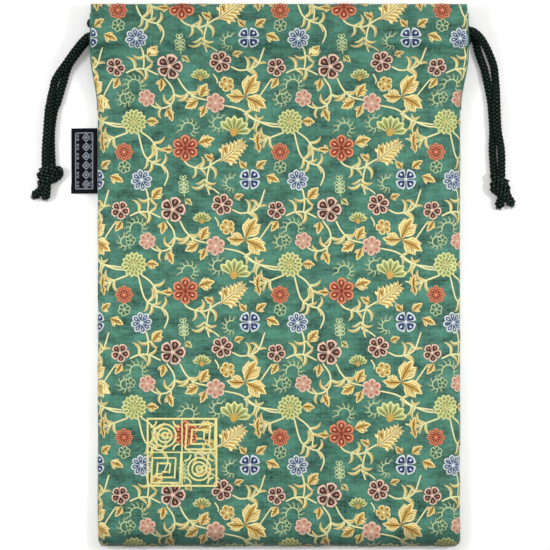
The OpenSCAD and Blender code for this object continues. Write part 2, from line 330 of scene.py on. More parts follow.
def weave_group():
    """Weave: weft ribs along the first axis of Lay, stepped by warp threads that shift from pick to pick.

    Shade is painted shade and light from the threads' roundness, darker between them and lighter on their
    crowns; Height is their roundness, and Slub the yarn's uneven thickness.
    """
    tree, inp, out = group(
        "weave",
        [
            ("Lay", "NodeSocketVector", None),
            ("Pitch", "NodeSocketFloat", 0.3),
            ("Step", "NodeSocketFloat", 0.4),
        ],
        [("Shade", "NodeSocketFloat"), ("Height", "NodeSocketFloat"), ("Slub", "NodeSocketFloat")],
    )
    parts = node(tree, "ShaderNodeSeparateXYZ", None, Vector=inp["Lay"]).outputs
    u = calc(tree, "DIVIDE", parts[0], inp["Pitch"])
    v = calc(tree, "DIVIDE", parts[1], inp["Pitch"])
    weft = calc(tree, "ABSOLUTE", calc(tree, "SINE", calc(tree, "MULTIPLY", v, math.pi)))
    shift = calc(tree, "MULTIPLY", calc(tree, "FLOOR", v), inp["Step"])
    shifted = calc(tree, "ADD", calc(tree, "MULTIPLY", u, 0.4), shift)
    warp = calc(tree, "ABSOLUTE", calc(tree, "SINE", calc(tree, "MULTIPLY", shifted, math.pi)))
    weft_height = calc(tree, "MULTIPLY", calc(tree, "POWER", weft, 0.6), 0.65)
    height = calc(tree, "MULTIPLY_ADD", calc(tree, "POWER", warp, 0.5), 0.35, weft_height)
    slub = noise(tree, stretched(tree, inp["Lay"], (0.09, 2.2, 1)), 1.0, 3, 0.6)
    feed(tree, out["Height"], height)
    # Painted shade between the threads and painted light on their crowns, from their height.
    feed(tree, out["Shade"], span(tree, height, 0.1, 0.95, 0.72, 1.1))
    feed(tree, out["Slub"], slub)
    return tree


def wear_group():
    """Wear: the dry, bleached look of rubbed cloth. Mask is patchy, and strongest where Edge is high."""
    tree, inp, out = group(
        "wear",
        [
            ("Place", "NodeSocketVector", None),
            ("Edge", "NodeSocketFloat", 0.0),
            ("Amount", "NodeSocketFloat", 0.3),
        ],
        [("Mask", "NodeSocketFloat")],
    )
    patch = noise(tree, inp["Place"], 160.0, 3, 0.6)
    worn = calc(tree, "MULTIPLY", calc(tree, "ADD", inp["Edge"], 0.25), span(tree, patch, 0.45, 0.75))
    feed(tree, out["Mask"], calc(tree, "MULTIPLY", worn, inp["Amount"]))
    return tree


def plait_group():
    """Plait: fine fibres along a cord's strands. Lay is turns about the cord and millimetres along it."""
    tree, inp, out = group(
        "plait",
        [
            ("Lay", "NodeSocketVector", None),
            ("Strands", "NodeSocketFloat", 4.0),
            ("Pitch", "NodeSocketFloat", 7.0),
        ],
        [("Shade", "NodeSocketFloat"), ("Height", "NodeSocketFloat")],
    )
    parts = node(tree, "ShaderNodeSeparateXYZ", None, Vector=inp["Lay"]).outputs
    along = calc(tree, "DIVIDE", parts[1], inp["Pitch"])
    s = calc(tree, "MULTIPLY", calc(tree, "ADD", parts[0], along), inp["Strands"])
    z = calc(tree, "MULTIPLY", calc(tree, "SUBTRACT", parts[0], along), inp["Strands"])
    fibres = calc(tree, "SINE", calc(tree, "MULTIPLY", s, 40.0))
    others = calc(tree, "SINE", calc(tree, "MULTIPLY", z, 40.0))
    waves = [calc(tree, "SINE", calc(tree, "MULTIPLY", turns, math.pi)) for turns in (s, z)]
    which = span(tree, calc(tree, "MULTIPLY", *waves), -0.2, 0.2)
    hidden = calc(tree, "MULTIPLY", others, calc(tree, "SUBTRACT", 1.0, which))
    both = calc(tree, "ADD", calc(tree, "MULTIPLY", fibres, which), hidden)
    uneven = noise(tree, stretched(tree, inp["Lay"], (30, 1.3, 1)), 1.0, 3, 0.6)
    feed(tree, out["Height"], both)
    # Shade: light and dark from the fibres' height and uneven yarn; the cord uses it to break up its painted
    # highlight.
    shade = calc(tree, "ADD", span(tree, both, -1, 1, 0.0, 0.5), calc(tree, "MULTIPLY", uneven, 0.6))
    feed(tree, out["Shade"], shade)
    return tree


look_down()
studio()
WEAVE = weave_group()
WEAR = wear_group()
PLAIT = plait_group()


def material(name):
    """A new material: its tree, its Principled shader, its lay (own UV map) and its place in the frame."""
    made = bpy.data.materials.new(name)
    made.use_nodes = True
    tree = made.node_tree
    shader = tree.nodes["Principled BSDF"]
    lay = node(tree, "ShaderNodeUVMap", {"uv_map": "lay"}).outputs[0]
    place = tree.nodes.new("ShaderNodeTexCoord").outputs["Object"]
    return made, tree, shader, lay, place


def raise_by(tree, shader, height, distance, strength=1.0):
    """A Bump node in metres that feeds the shader's Normal."""
    bump = node(tree, "ShaderNodeBump", None, Height=height, Distance=distance, Strength=strength)
    feed(tree, shader.inputs["Normal"], bump.outputs[0])


def foot_shade(tree, place, tone):
    """The cloth's tone with painted shade: darker in the fold along the pouch's foot, and its own a little
    above.
    """
    up_the_pouch = node(tree, "ShaderNodeSeparateXYZ", None, Vector=place).outputs[1]
    fold = noise(tree, stretched(tree, place, (25, 3, 1)), 1.0, 2)
    above = calc(tree, "ADD", up_the_pouch, span(tree, fold, 0.3, 0.7, -0.003, 0.003))
    # Painted shade in the fold along the foot, fading out 11 mm above the bottom.
    dark = span(tree, above, (BOTTOM + 1) * MM, (BOTTOM + 11) * MM, 0.6, 0)
    return mix(tree, dark, tone, linear(6, 22, 18))


def brocade_ground():
    """Teal satin: two close greens and a bluish one in streaks along the weft, and a faint woven fret."""
    made, tree, shader, lay, place = material("brocade ground")
    weave = use(tree, WEAVE, Lay=lay, Pitch=0.34, Step=0.382)
    cloud = noise(tree, stretched(tree, lay, (0.07, 0.13, 1)), 1.0, 4, 0.66)
    streak = noise(tree, stretched(tree, lay, (0.3, 1.0, 1)), 1.0, 3, 0.6)
    tone = mix(tree, span(tree, cloud, 0.36, 0.62), linear(24, 70, 54), linear(72, 134, 112))
    tone = mix(tree, span(tree, streak, 0.5, 0.72, 0, 0.6), tone, linear(84, 148, 144))
    parts = node(tree, "ShaderNodeSeparateXYZ", None, Vector=lay).outputs
    fret = []
    for one, other in ((0, 1), (1, 0)):
        line = calc(tree, "PINGPONG", parts[one], 1.35)
        row = calc(tree, "FLOOR", calc(tree, "DIVIDE", parts[one], 2.7))
        gate = calc(tree, "PINGPONG", calc(tree, "MULTIPLY_ADD", row, 2.7, parts[other]), 4.05)
        fret.append(calc(tree, "MULTIPLY", span(tree, line, 0.0, 0.42, 1, 0), span(tree, gate, 1.2, 1.5)))
    faint = calc(tree, "MULTIPLY", calc(tree, "MAXIMUM", *fret), 0.22)
    tone = mix(tree, faint, tone, linear(118, 160, 134))
    # Painted shade between the threads and painted light on their crowns.
    tone = mix(tree, 1.0, tone, weave["Shade"], "MULTIPLY")
    worn = use(tree, WEAR, Place=place, Amount=0.2)["Mask"]
    tone = mix(tree, worn, tone, linear(140, 160, 140))
    # Painted shade along the foot.
    feed(tree, shader.inputs["Base Color"], foot_shade(tree, place, tone))
    feed(tree, shader.inputs["Roughness"], span(tree, weave["Slub"], 0.3, 0.7, 0.42, 0.62))
    shader.inputs["Sheen Weight"].default_value = 0.08
    shader.inputs["Specular IOR Level"].default_value = 0.3
    raise_by(tree, shader, weave["Height"], 0.00008, 0.7)
    return made


def figure_yarn():
    """Floss of the woven figure: each blade's own colour, ribbed by its picks and a little uneven."""
    made, tree, shader, lay, place = material("figure yarn")
    weave = use(tree, WEAVE, Lay=lay, Pitch=0.42, Step=0.5)
    yarn = node(tree, "ShaderNodeAttribute", {"attribute_name": "yarn"}).outputs["Color"]
    # Painted shade between the threads and painted light on their crowns.
    tone = mix(tree, 1.0, yarn, weave["Shade"], "MULTIPLY")
    fleck = noise(tree, stretched(tree, lay, (0.9, 2.6, 1)), 1.0, 2, 0.6)
    tone = mix(tree, span(tree, fleck, 0.5, 0.8, 0, 0.3), tone, linear(120, 106, 70))
    # Painted shade along the foot.
    feed(tree, shader.inputs["Base Color"], foot_shade(tree, place, tone))
    feed(tree, shader.inputs["Roughness"], span(tree, weave["Slub"], 0.3, 0.7, 0.38, 0.58))
    shader.inputs["Sheen Weight"].default_value = 0.08
    shader.inputs["Specular IOR Level"].default_value = 0.3
    raise_by(tree, shader, weave["Height"], 0.00009, 0.8)
    return made


def lining_cloth():
    """Plain pale green lining with a fine even weave."""
    made, tree, shader, lay, _ = material("lining")
    weave = use(tree, WEAVE, Lay=lay, Pitch=0.26, Step=0.5)
    cloud = noise(tree, stretched(tree, lay, (0.05, 0.06, 1)), 1.0, 3, 0.5)
    tone = mix(tree, span(tree, cloud, 0.35, 0.65), linear(112, 138, 112), linear(128, 152, 124))
    # Painted shade between the threads and painted light on their crowns.
    feed(tree, shader.inputs["Base Color"], mix(tree, 1.0, tone, weave["Shade"], "MULTIPLY"))
    feed(tree, shader.inputs["Roughness"], span(tree, weave["Slub"], 0.3, 0.7, 0.55, 0.75))
    shader.inputs["Sheen Weight"].default_value = 0.2
    raise_by(tree, shader, weave["Height"], 0.00006, 0.6)
    return made


def cord_silk():
    """Dark green plaited cord, with painted shade that makes it almost black in its grooves and painted
    highlights of greyish green on the strands.
    """
    made, tree, shader, lay, _ = material("cord")
    plait = use(tree, PLAIT, Lay=lay, Strands=float(STRANDS), Pitch=PLAIT_PITCH)
    ridge = node(tree, "ShaderNodeAttribute", {"attribute_name": "yarn"}).outputs["Fac"]
    fibres = span(tree, plait["Shade"], 0.35, 0.75, 0.1, 1)
    # Painted highlight on the strand crowns, broken up by the fibres.
    painted_highlight = calc(tree, "MULTIPLY", span(tree, ridge, 0.78, 0.98), fibres)
    # Painted shade: nearly black in the grooves, dark green on the strands.
    tone = mix(tree, span(tree, ridge, 0.4, 0.85), linear(0, 1, 1), linear(5, 17, 12))
    tone = mix(tree, painted_highlight, tone, linear(78, 100, 94))
    feed(tree, shader.inputs["Base Color"], tone)
    feed(tree, shader.inputs["Roughness"], span(tree, plait["Shade"], 0.2, 0.9, 0.6, 0.42))
    shader.inputs["Specular IOR Level"].default_value = 0.05
    raise_by(tree, shader, plait["Height"], 0.00005, 0.8)
    return made


def sewing_thread():
    """Green polyester sewing thread with its ply twist."""
    made, tree, shader, lay, place = material("sewing thread")
    diagonal = {"bands_direction": "DIAGONAL"}
    twist = node(tree, "ShaderNodeTexWave", diagonal, Vector=lay, Scale=6.0).outputs[0]
    uneven = noise(tree, place, 900.0, 2)
    tone = mix(tree, span(tree, uneven, 0.3, 0.7), linear(60, 92, 76), linear(104, 132, 112))
    feed(tree, shader.inputs["Base Color"], tone)
    feed(tree, shader.inputs["Roughness"], span(tree, twist, 0, 1, 0.45, 0.65))
    raise_by(tree, shader, twist, 0.00004)
    return made


def label_damask():
    """Black damask ribbon with a fine satin grain."""
    made, tree, shader, lay, _ = material("label ribbon")
    weave = use(tree, WEAVE, Lay=lay, Pitch=0.22, Step=0.333)
    tone = mix(tree, span(tree, weave["Slub"], 0.35, 0.7), linear(3, 4, 8), linear(14, 16, 24))
    # Painted shade between the threads and painted light on their crowns.
    tone = mix(tree, 1.0, tone, weave["Shade"], "MULTIPLY")
    feed(tree, shader.inputs["Base Color"], tone)
    feed(tree, shader.inputs["Roughness"], span(tree, weave["Slub"], 0.3, 0.7, 0.5, 0.68))
    shader.inputs["Specular IOR Level"].default_value = 0.08
    raise_by(tree, shader, weave["Height"], 0.00006)
    return made


def metal_thread(name, dark, light, metallic):
    """Wrapped metal thread: a light and a dark tone along its picks, with small glints painted as the lighter
    tone where the thread is also glossier.
    """
    made, tree, shader, lay, _ = material(name)
    weave = use(tree, WEAVE, Lay=lay, Pitch=0.4, Step=0.25)
    glint = noise(tree, lay, 3.1, 2, 0.7)
    # Painted glints: the lighter tone in small spots, which also get a lower roughness.
    tone = mix(tree, span(tree, glint, 0.3, 0.62), dark, light)
    # Painted shade between the threads and painted light on their crowns.
    feed(tree, shader.inputs["Base Color"], mix(tree, 1.0, tone, weave["Shade"], "MULTIPLY"))
    feed(tree, shader.inputs["Roughness"], span(tree, glint, 0.3, 0.7, 0.52, 0.34))
    shader.inputs["Metallic"].default_value = metallic
    raise_by(tree, shader, weave["Height"], 0.00008)
    return made


def backdrop():
    """Plain white board under the pouch."""
    made, tree, shader, _, place = material("white board")
    grain = noise(tree, place, 400.0, 2)
    tone = mix(tree, span(tree, grain, 0.3, 0.7), linear(250, 250, 250), linear(254, 254, 254))
    feed(tree, shader.inputs["Base Color"], tone)
    shader.inputs["Roughness"].default_value = 0.95
    shader.inputs["Specular IOR Level"].default_value = 0.0
    shader.inputs["Emission Color"].default_value = (1, 1, 1, 1)
    shader.inputs["Emission Strength"].default_value = 0.06
    return made


GROUND = brocade_ground()
YARN = figure_yarn()
LINING_CLOTH = lining_cloth()
CORD_SILK = cord_silk()
THREAD = sewing_thread()
RIBBON = label_damask()
GOLD = metal_thread("gold thread", linear(204, 188, 104), linear(250, 246, 168), 0.05)
SILVER = metal_thread("silver thread", linear(84, 92, 102), linear(156, 164, 174), 0.1)
BOARD = backdrop()

# ---- drawcords ----

# Routes of the free cords and of their ends, as in the part's source, in metres about the middle of the pouch
RIGHT_FRONT = [
    (0.1034, 0.1345, 0.0115), (0.1046, 0.1344, 0.0112), (0.1074, 0.1333, 0.0096), (0.1109, 0.1303, 0.0076),
    (0.1142, 0.1252, 0.0054), (0.1167, 0.12, 0.0038), (0.1186, 0.1145, 0.0024), (0.1195, 0.106, 0.00215),
]
RIGHT_FRONT_END = [
    (0.1197, 0.1035, 0.0024), (0.1197, 0.0965, 0.0052), (0.1198, 0.091, 0.0058),
    (0.1204, 0.08, 0.0059), (0.1223, 0.069, 0.0045), (0.1225, 0.054, 0.005),
]
RIGHT_BACK = [
    (0.1034, 0.1341, 0.0028), (0.1045, 0.1339, 0.0025), (0.107, 0.1321, 0.00215), (0.1087, 0.1283, 0.00215),
    (0.1096, 0.1244, 0.00215), (0.1111, 0.1198, 0.00215), (0.1132, 0.114, 0.00215), (0.115, 0.106, 0.00215),
    (0.1155, 0.1035, 0.00215), (0.1168, 0.0965, 0.00215), (0.1174, 0.091, 0.00215),
    (0.1181, 0.08, 0.00215), (0.1178, 0.069, 0.00215), (0.1189, 0.054, 0.0023),
]
LEFT_FRONT = [
    (-0.1034, 0.1312, 0.0115), (-0.1046, 0.131, 0.0111), (-0.1082, 0.1278, 0.0096), (-0.1123, 0.123, 0.0078),
    (-0.1169, 0.1169, 0.0063), (-0.1212, 0.1113, 0.0044), (-0.1236, 0.1073, 0.0027),
    (-0.1246, 0.103, 0.00215),
]
LEFT_FRONT_END = [
    (-0.1252, 0.1005, 0.0024), (-0.126, 0.0955, 0.0046), (-0.1268, 0.0905, 0.0057),
    (-0.1276, 0.08, 0.0059), (-0.1284, 0.069, 0.0055), (-0.1286, 0.058, 0.0048),
]
LEFT_BACK = [
    (-0.1034, 0.1308, 0.0028), (-0.1045, 0.1305, 0.0025), (-0.1082, 0.1269, 0.00215),
    (-0.1114, 0.1227, 0.00215), (-0.1153, 0.1172, 0.00215), (-0.1174, 0.112, 0.00215),
    (-0.1187, 0.1073, 0.00215), (-0.12, 0.103, 0.00215),
    (-0.1207, 0.1005, 0.00215), (-0.1223, 0.0955, 0.00215), (-0.1241, 0.0905, 0.00215),
    (-0.1256, 0.08, 0.00215), (-0.1256, 0.069, 0.00215), (-0.125, 0.058, 0.0024),
]


def plaited(name, path, wide=CORD, thick=CORD, start=0.0, columns=36, across=(0, 0, 1), swell=None):
    """A round plait carried along path.

    Its radius at an angle and a distance is the cord's radius less a groove. Two families of strands wind
    round in opposite ways. Each strand is highest in its middle and dives under every second strand that it
    crosses, so the surface is the higher of the two. wide and thick squeeze the round, and swell scales it
    along the path.
    """
    run = np.concatenate([[0], np.cumsum(np.linalg.norm(np.diff(path, axis=0), axis=1))])
    along = unit(np.gradient(path, axis=0))
    up = np.asarray(across, float) - (along @ np.asarray(across, float))[:, None] * along
    up = unit(up)
    side = np.cross(up, along)
    turn = np.arange(columns + 1) / columns
    s = STRANDS * (turn[None] + (run[:, None] + start) / PLAIT_PITCH)
    z = STRANDS * (turn[None] - (run[:, None] + start) / PLAIT_PITCH)

    def family(own, other, sign):
        """Height of one family's strands, over and under the other's."""
        off = own - np.round(own)
        over = sign * np.cos(np.pi * np.round(own)) * np.cos(np.pi * other)
        return np.sqrt(np.clip(1 - (off / 0.54) ** 2, 0, 1)) * 0.66 + 0.34 * over

    height = np.clip(np.maximum(family(s, z, 1), family(z, s, -1)), 0, 1)
    reach = 0.5 * (0.70 + 0.40 * height) * (1.0 if swell is None else np.asarray(swell)[:, None])
    angle = 2 * np.pi * turn
    out = side[:, None] * (np.cos(angle) * wide)[None, :, None]
    out = out + up[:, None] * (np.sin(angle) * thick)[None, :, None]
    points = path[:, None] + out * reach[..., None]
    uv = np.stack(np.broadcast_arrays(turn[None], run[:, None] + start), -1)
    # The strands' heights go in the colour attribute; the cord's material paints shade in the grooves and
    # highlights on the crowns from them.
    shade = np.repeat(height[:, :-1, None], 3, 2)
    piece = surface(name, points[:, :-1], closed=True, caps=True, uv=uv, colour=shade)
    piece.data.materials.append(CORD_SILK)
    return piece


def free_cord(name, route, nodes, start=0.0):
    """A free length of drawcord from one body to the next."""
    path = smooth_path(np.array(route) / MM, 0.45)
    piece = plaited(name, path, start=start)
    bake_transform(piece)
    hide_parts(*nodes)
    return path


def pressed_run(name, points, nodes, body):
    """Cord pressed flat inside a casing."""
    piece = plaited(name, smooth_path(points, 0.8), wide=4.4, thick=3.4, columns=24)
    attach(piece, body)
    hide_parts(*nodes)


def frayed_end(name, side, route, seed):
    """A cut end: a short plaited piece that swells a little to its tip, and loose fibres out of the cut.

    Each fibre is a three-sided tube that starts on the cut and bends outwards as the square of the distance.
    """
    path = smooth_path(route, 0.4)
    t = np.linspace(0, 1, len(path))
    swell = 1 + 0.22 * smooth((t - 0.45) / 0.4) - 0.42 * smooth((t - 0.86) / 0.14)
    stub = plaited(name, path, swell=swell)
    rng = np.random.default_rng(seed)
    count = 110
    way = unit(path[-1] - path[-4])
    flat = unit(np.cross(way, [0, 0, 1]))
    angle = rng.uniform(0, 2 * np.pi, count)
    reach = np.sqrt(rng.uniform(0, 1, count))
    spread = flat * np.cos(angle)[:, None] + np.cross(flat, way) * np.sin(angle)[:, None]
    root = path[-1] + spread * (reach * 1.5)[:, None] - way * 0.3
    length = rng.uniform(0.7, 2.0, count)
    rows = np.linspace(0, 1, 5)[None, :, None]
    line = root[:, None] + way * (length[:, None, None] * rows)
    line = line + spread[:, None] * (reach * length * 0.55)[:, None, None] * rows**2
    line = line + rng.normal(0, 0.12, (count, 1, 3)) * rows
    line[..., 2] = np.maximum(line[..., 2], 0.15)
    round_angle = np.arange(3) * 2 * np.pi / 3
    ring = flat * np.cos(round_angle)[:, None] + np.cross(flat, way) * np.sin(round_angle)[:, None]
    points = line[:, :, None] + ring[None, None] * (0.09 * (1 - 0.7 * rows[..., None]))
    uv = np.zeros((count, 5, 4, 2))
    uv[..., 1] = rows * length[:, None, None]
    # The loose fibres get a strand height of 0.8 for the cord's painted shade and highlight.
    fibres = surface(
        name + "_fray", points, closed=True, caps=True, uv=uv, colour=np.full((count, 5, 3, 3), 0.8)
    )
    fibres.data.materials.append(CORD_SILK)
    for piece in (stub, fibres):
        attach(piece, f"{side}_cord_end")
    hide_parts(f"{side}_cut_ends")
    return [stub, fibres]


def knot_band(centre, axis, offset, tilt, half, start=-0.4):
    """One cord of a doubled overhand knot: an oval coil about axis that starts and ends inside the knot.

    The point at a turn is the centre, plus the coil's place along the axis, plus an oval of half widths half.
    """
    t = np.linspace(0, 1, 90)
    angle = 2 * np.pi * (start + BAND_TURNS * t)
    out = 0.35 + 0.65 * smooth(t / 0.16) * smooth((1 - t) / 0.16)
    axis = unit(np.array(axis, float))
    side = unit(np.cross(axis, [0, 0, 1]))
    along = offset + 2.4 * (t - 0.5) + tilt * np.cos(angle)
    path = np.array(centre) + axis * along[:, None] + side * (half[0] * out * np.cos(angle))[:, None]
    return path + np.array([0, 0, 1]) * (half[1] * out * np.sin(angle))[:, None]


def right_knot():
    """The right cord's knot: two bands round the cord."""
    axis = (-0.42, -1, 0)
    paths = [
        knot_band((120.9, 49.2, 4.75), axis, -2.2, -1.4, (4.6, 2.45)),
        knot_band((122.3, 47.8, 4.6), axis, 1.9, -1.6, (4.6, 2.3), start=-0.35),
    ]
    return knot_pieces("right", paths, (122, 49, 4.6), axis)


def left_knot():
    """The left cord's knot: two bands round the cord, and an ear of cord beside them."""
    axis = (0.3, -1, 0)
    bow = [(-127.5, 54.6, 4), (-124.4, 58, 4.4), (-121.3, 58.2, 4.2), (-121, 55.6, 3.2), (-125, 52.4, 3)]
    ear = smooth_path(bow, 0.4)
    paths = [
        knot_band((-127.7, 55.2, 4.75), axis, -1.8, 1.3, (3.5, 2.4)),
        knot_band((-128.2, 54.2, 4.6), axis, 1.6, 1.4, (3.7, 2.3), start=-0.3),
        ear,
    ]
    return knot_pieces("left", paths, (-127.8, 55, 4.6), axis)


def knot_pieces(side, paths, centre, axis):
    """The bands of one knot, and the cord in its middle that they are tied round."""
    centre = np.array(centre, float)
    axis = unit(np.array(axis, float))
    core = smooth_path([centre - axis * 5, centre - axis * 2, centre + axis * 2, centre + axis * 5], 0.5)
    pieces = [plaited(f"{side}_knot_core", core, wide=6.4, thick=4.2)]
    for k, path in enumerate(paths):
        pieces.append(plaited(f"{side}_knot_band_{k + 1}", path, start=1.3 * k, across=tuple(axis)))
    for piece in pieces:
        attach(piece, f"{side}_cord_end")
        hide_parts(f"{side}_knot")
    return pieces


def cord_turn(side, far, lane):
    """The bight where the drawcord turns back round the far end of the casing, from front to back."""
    half = [(99, CORD_Z), (101.3, CORD_Z), (102.9, CORD_Z + 0.7), (103.6, CORD_Z + 2.3)]
    loop = [(far * x, lane, z) for x, z in half] + [(far * x, lane, THICK - z) for x, z in half[::-1]]
    piece = plaited(f"{side}_cord_turn", smooth_path(loop, 0.45), wide=3.4, thick=4.4, across=(0, 1, 0))
    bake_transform(piece)
    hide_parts(f"{side}_turn")


def drawcord(side, out, lanes, front, front_end, back, knot, tails):
    """One drawcord: in the back casing, round its far end, back in the front casing, and both free ends."""
    cord, front_body, end = f"{side}_cord", f"{side}_cord_front", f"{side}_cord_end"
    ends = knot()
    for k, (route, seed) in enumerate(tails):
        ends += frayed_end(f"{side}_cut_end_{k + 1}", side, route, seed)
    along = free_cord(
        f"{side}_front_cord_loop", front + front_end[:1],
        [f"{side}_front_strand"],
    )
    free_cord(
        f"{side}_front_cord_end", [front[-1]] + front_end,
        [f"{side}_front_end"],
        start=path_length(along) - path_length(smooth_path([front[-1], front_end[0]], 0.0001)) / MM,
    )
    free_cord(
        f"{side}_back_cord_end", back, [
            f"{side}_back_strand", f"{side}_back_end"
        ],
    )
    low = [
        (-out * 98.9, lanes[0], CORD_Z), (0, sum(lanes) / 2, CORD_Z),
        (out * 103.4, lanes[1], CORD_Z + 0.2)
    ]
    high = [
        (-out * 98.9, lanes[0], THICK - CORD_Z), (0, sum(lanes) / 2, THICK - CORD_Z),
        (out * 103.4, lanes[1], THICK - CORD_Z)
    ]
    pressed_run(f"{side}_back_run_cord", low, [f"{side}_back_run"], cord)
    pressed_run(f"{side}_front_run_cord", high, [f"{side}_front_run"], front_body)
    cord_turn(side, -out, lanes[0])


drawcord(
    "right", 1, (138.5, 134.4), RIGHT_FRONT, RIGHT_FRONT_END, RIGHT_BACK, right_knot,
    [
        ([(122.6, 47.5, 4), (122.4, 42.6, 3.2), (121.3, 37.6, 2.6)], 11),
        ([(124.4, 47.5, 5.2), (126.4, 43, 4.4), (128.4, 39, 2.9)], 12)
    ],
)
drawcord(
    "left", -1, (128.6, 130.8), LEFT_FRONT, LEFT_FRONT_END, LEFT_BACK, left_knot,
    [
        ([(-129.4, 51.5, 4), (-131.6, 47.2, 3.2), (-135.4, 43.4, 2.6)], 21),
        ([(-127.6, 52, 6), (-127.8, 47.4, 4.4), (-129.2, 42.6, 2.7)], 22)
    ],
)

# ---- cloth ----


def half_width(y):
    """Half the width of the pouch, flaring between the slit base and the casing."""
    return HALF_W + FLARE * smooth((y - SLIT) / (CASING - SLIT))


def from_seam(x, y):
    """0 on the side and bottom seams and 1 well inside them. The sides are open above the slit base."""
    sewn = 1 - smooth((y - SLIT) / 24)
    return (1 - sewn * (1 - rise(half_width(y) - np.abs(x), EDGE_ROUND))) * rise(y - BOTTOM, EDGE_ROUND)


def dimple(y):
    """How deep the casing's stitches draw the cloth in."""
    return 0.6 * (1 - smooth(np.abs(y - CASING) / 2.2))


def face_height(x, y):
    """Height of the front face inside its edges: a low dome, rising to the casing, less its dimple."""
    loft = LOFT + (FOOT - LOFT) * smooth((y - 40) / (CASING - 40))
    dome = DOME * (1 - (x / half_width(y)) ** 2) * (1 - smooth((y - 50) / 60))
    return loft + dome + (THICK - FOOT) * smooth((y - CASING - 0.5) / 3.5) - dimple(y)


def relief(x, y, seed):
    """Slow waves of nearly flat cloth, puckers along the casing stitches, and ease in the side seams."""
    waves = 0.20 * np.sin(x / 19 + y / 31 + seed) + 0.15 * np.sin(y / 14 - x / 33 + 2 * seed)
    waves = waves + 0.10 * np.sin(x / 8.3 + 1.4 * np.sin(y / 12 + seed))
    pucker = -0.30 * np.exp(-(((y - CASING) / 4.5) ** 2)) * (
        0.5 + 0.5 * np.cos(x * 2 * np.pi / 9.6 + 0.9 * np.sin(x / 13))
    )
    edge = half_width(y) - np.abs(x)
    ease = 0.34 * np.exp(-(((edge - 5.5) / 3.6) ** 2)) * np.sin(
        y * 2 * np.pi / 8.7 + 1.7 * np.sin(y / 23) + seed
    )
    ease = ease * (1 - smooth((y - SLIT) / 10))
    return waves + pucker + ease


def hem_height(y):
    """Distance of the hem from the outer face: one cloth at the stitches, and a cord's depth above."""
    return BROCADE + 0.1 + 3.6 * smooth((y - CASING - 0.5) / 3.2)


def rounded(x, y):
    """The bottom corners are rounded by lifting the rows near the bottom."""
    inset = np.clip(np.abs(x) - (HALF_W - CORNER), 0, CORNER)
    return y + (CORNER - np.sqrt(CORNER**2 - inset**2)) * (1 - smooth((y - BOTTOM) / 12))


def outer_rows():
    """Rows from the bottom seam to the top fold, close together where the cloth rounds over."""
    low = BOTTOM + EDGE_ROUND * (1 - np.cos(np.linspace(0, np.pi / 2, 9)))
    high = TOP - FOLD_ROUND * (1 - np.sin(np.linspace(0, np.pi / 2, 9)))
    return np.concatenate([low, np.linspace(low[-1], high[0], 150)[1:-1], high])


def hem_rows():
    """Rows from just past the top fold down to the edge of the hem."""
    high = TOP - FOLD_ROUND * (1 - np.sin(np.linspace(np.pi / 2, 0, 9)))[1:]
    return np.concatenate([high, np.linspace(high[-1], HEM_END, 12)[1:]])


def cloth_sheet(is_front, depth=0.0, top=None, hem=True, columns=176, seed=0.0):
    """Grid of one face of the pouch, depth inside its outer face, with its lay in flat cloth.

    The height is the seam's at the seams and the face's inside them. At the top fold it goes round an oval to
    the hem. The lay is the distance along the middle row and along the middle column.
    """
    sign = 1 if is_front else -1
    rows = outer_rows()
    if top is not None:
        rows = np.append(rows[rows < top - 0.4], top)
    inside = np.zeros(len(rows))
    if hem:
        turned = hem_rows()
        rows, inside = np.concatenate([rows, turned]), np.concatenate([inside, np.ones(len(turned))])
    u = np.linspace(-1, 1, columns)
    y, v = rows[:, None], inside[:, None]
    set_back = HEM_IN * v * smooth((TOP - y) / 7)
    narrow = half_width(y) - depth - set_back
    x = narrow * np.sin(np.pi / 2 * u[None])
    wobble = 0.22 * np.sin(y / 21 + seed + 2 * np.sign(u)) + 0.1 * np.sin(y / 6.1 + seed)
    x = x + u[None] ** 5 * wobble * (1 - v)
    y = np.broadcast_to(y, x.shape)
    up = from_seam(x, y)
    if is_front:
        outer = SEAM_Z + (face_height(x, y) - SEAM_Z) * up - depth * up
        turned_z = face_height(0 * x, y) - hem_height(y) - BROCADE
        middle = THICK - CORD_Z
    else:
        outer = SEAM_Z - 0.1 - (SEAM_Z - 0.1 - dimple(y)) * up + depth * up
        turned_z = dimple(y) + hem_height(y) + BROCADE
        middle = CORD_Z
    z = np.where(v > 0, turned_z, outer)
    fold = rise(TOP - y, FOLD_ROUND)
    if top is None or hem:
        z = middle + (z - middle) * fold
    waves = relief(x, y, seed) * (1 - v) * up
    if is_front:
        z = z + waves * fold
    else:
        z = z + np.abs(waves) * fold * 0.4
    points = np.stack(
        [x, rounded(x, y) if depth == 0 else np.maximum(rounded(x, y), BOTTOM + depth), z], -1
    )
    dx, dy = np.gradient(points, axis=1), np.gradient(points, axis=0)
    normals = unit(np.cross(dx, dy)) * sign
    middle_row, middle_column = points[len(rows) // 3], points[:, columns // 2]
    a = np.concatenate([[0], np.cumsum(np.linalg.norm(np.diff(middle_row, axis=0), axis=1))])
    b = np.concatenate([[0], np.cumsum(np.linalg.norm(np.diff(middle_column, axis=0), axis=1))])
    return {
        "points": points, "normals": normals, "a": a - a[-1] / 2, "b": b, "rows": rows, "inside": inside,
        "front": is_front
    }


def cloth_piece(name, sheet, stuff, thick):
    """The sheet as a piece with its real thickness on the inner side."""
    lay = np.stack(np.broadcast_arrays(sheet["a"][None], sheet["b"][:, None]), -1)
    points = sheet["points"]
    if not sheet["front"]:
        points, lay = points[:, ::-1], lay[:, ::-1]
    piece = surface(name, points, uv=lay)
    piece.data.materials.append(stuff)
    body = piece.modifiers.new("thickness", "SOLIDIFY")
    body.thickness, body.offset, body.use_even_offset = thick * MM, -1, False
    return piece


def with_the_front(piece):
    """Bakes a front piece's place in the frame into its mesh."""
    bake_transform(piece)


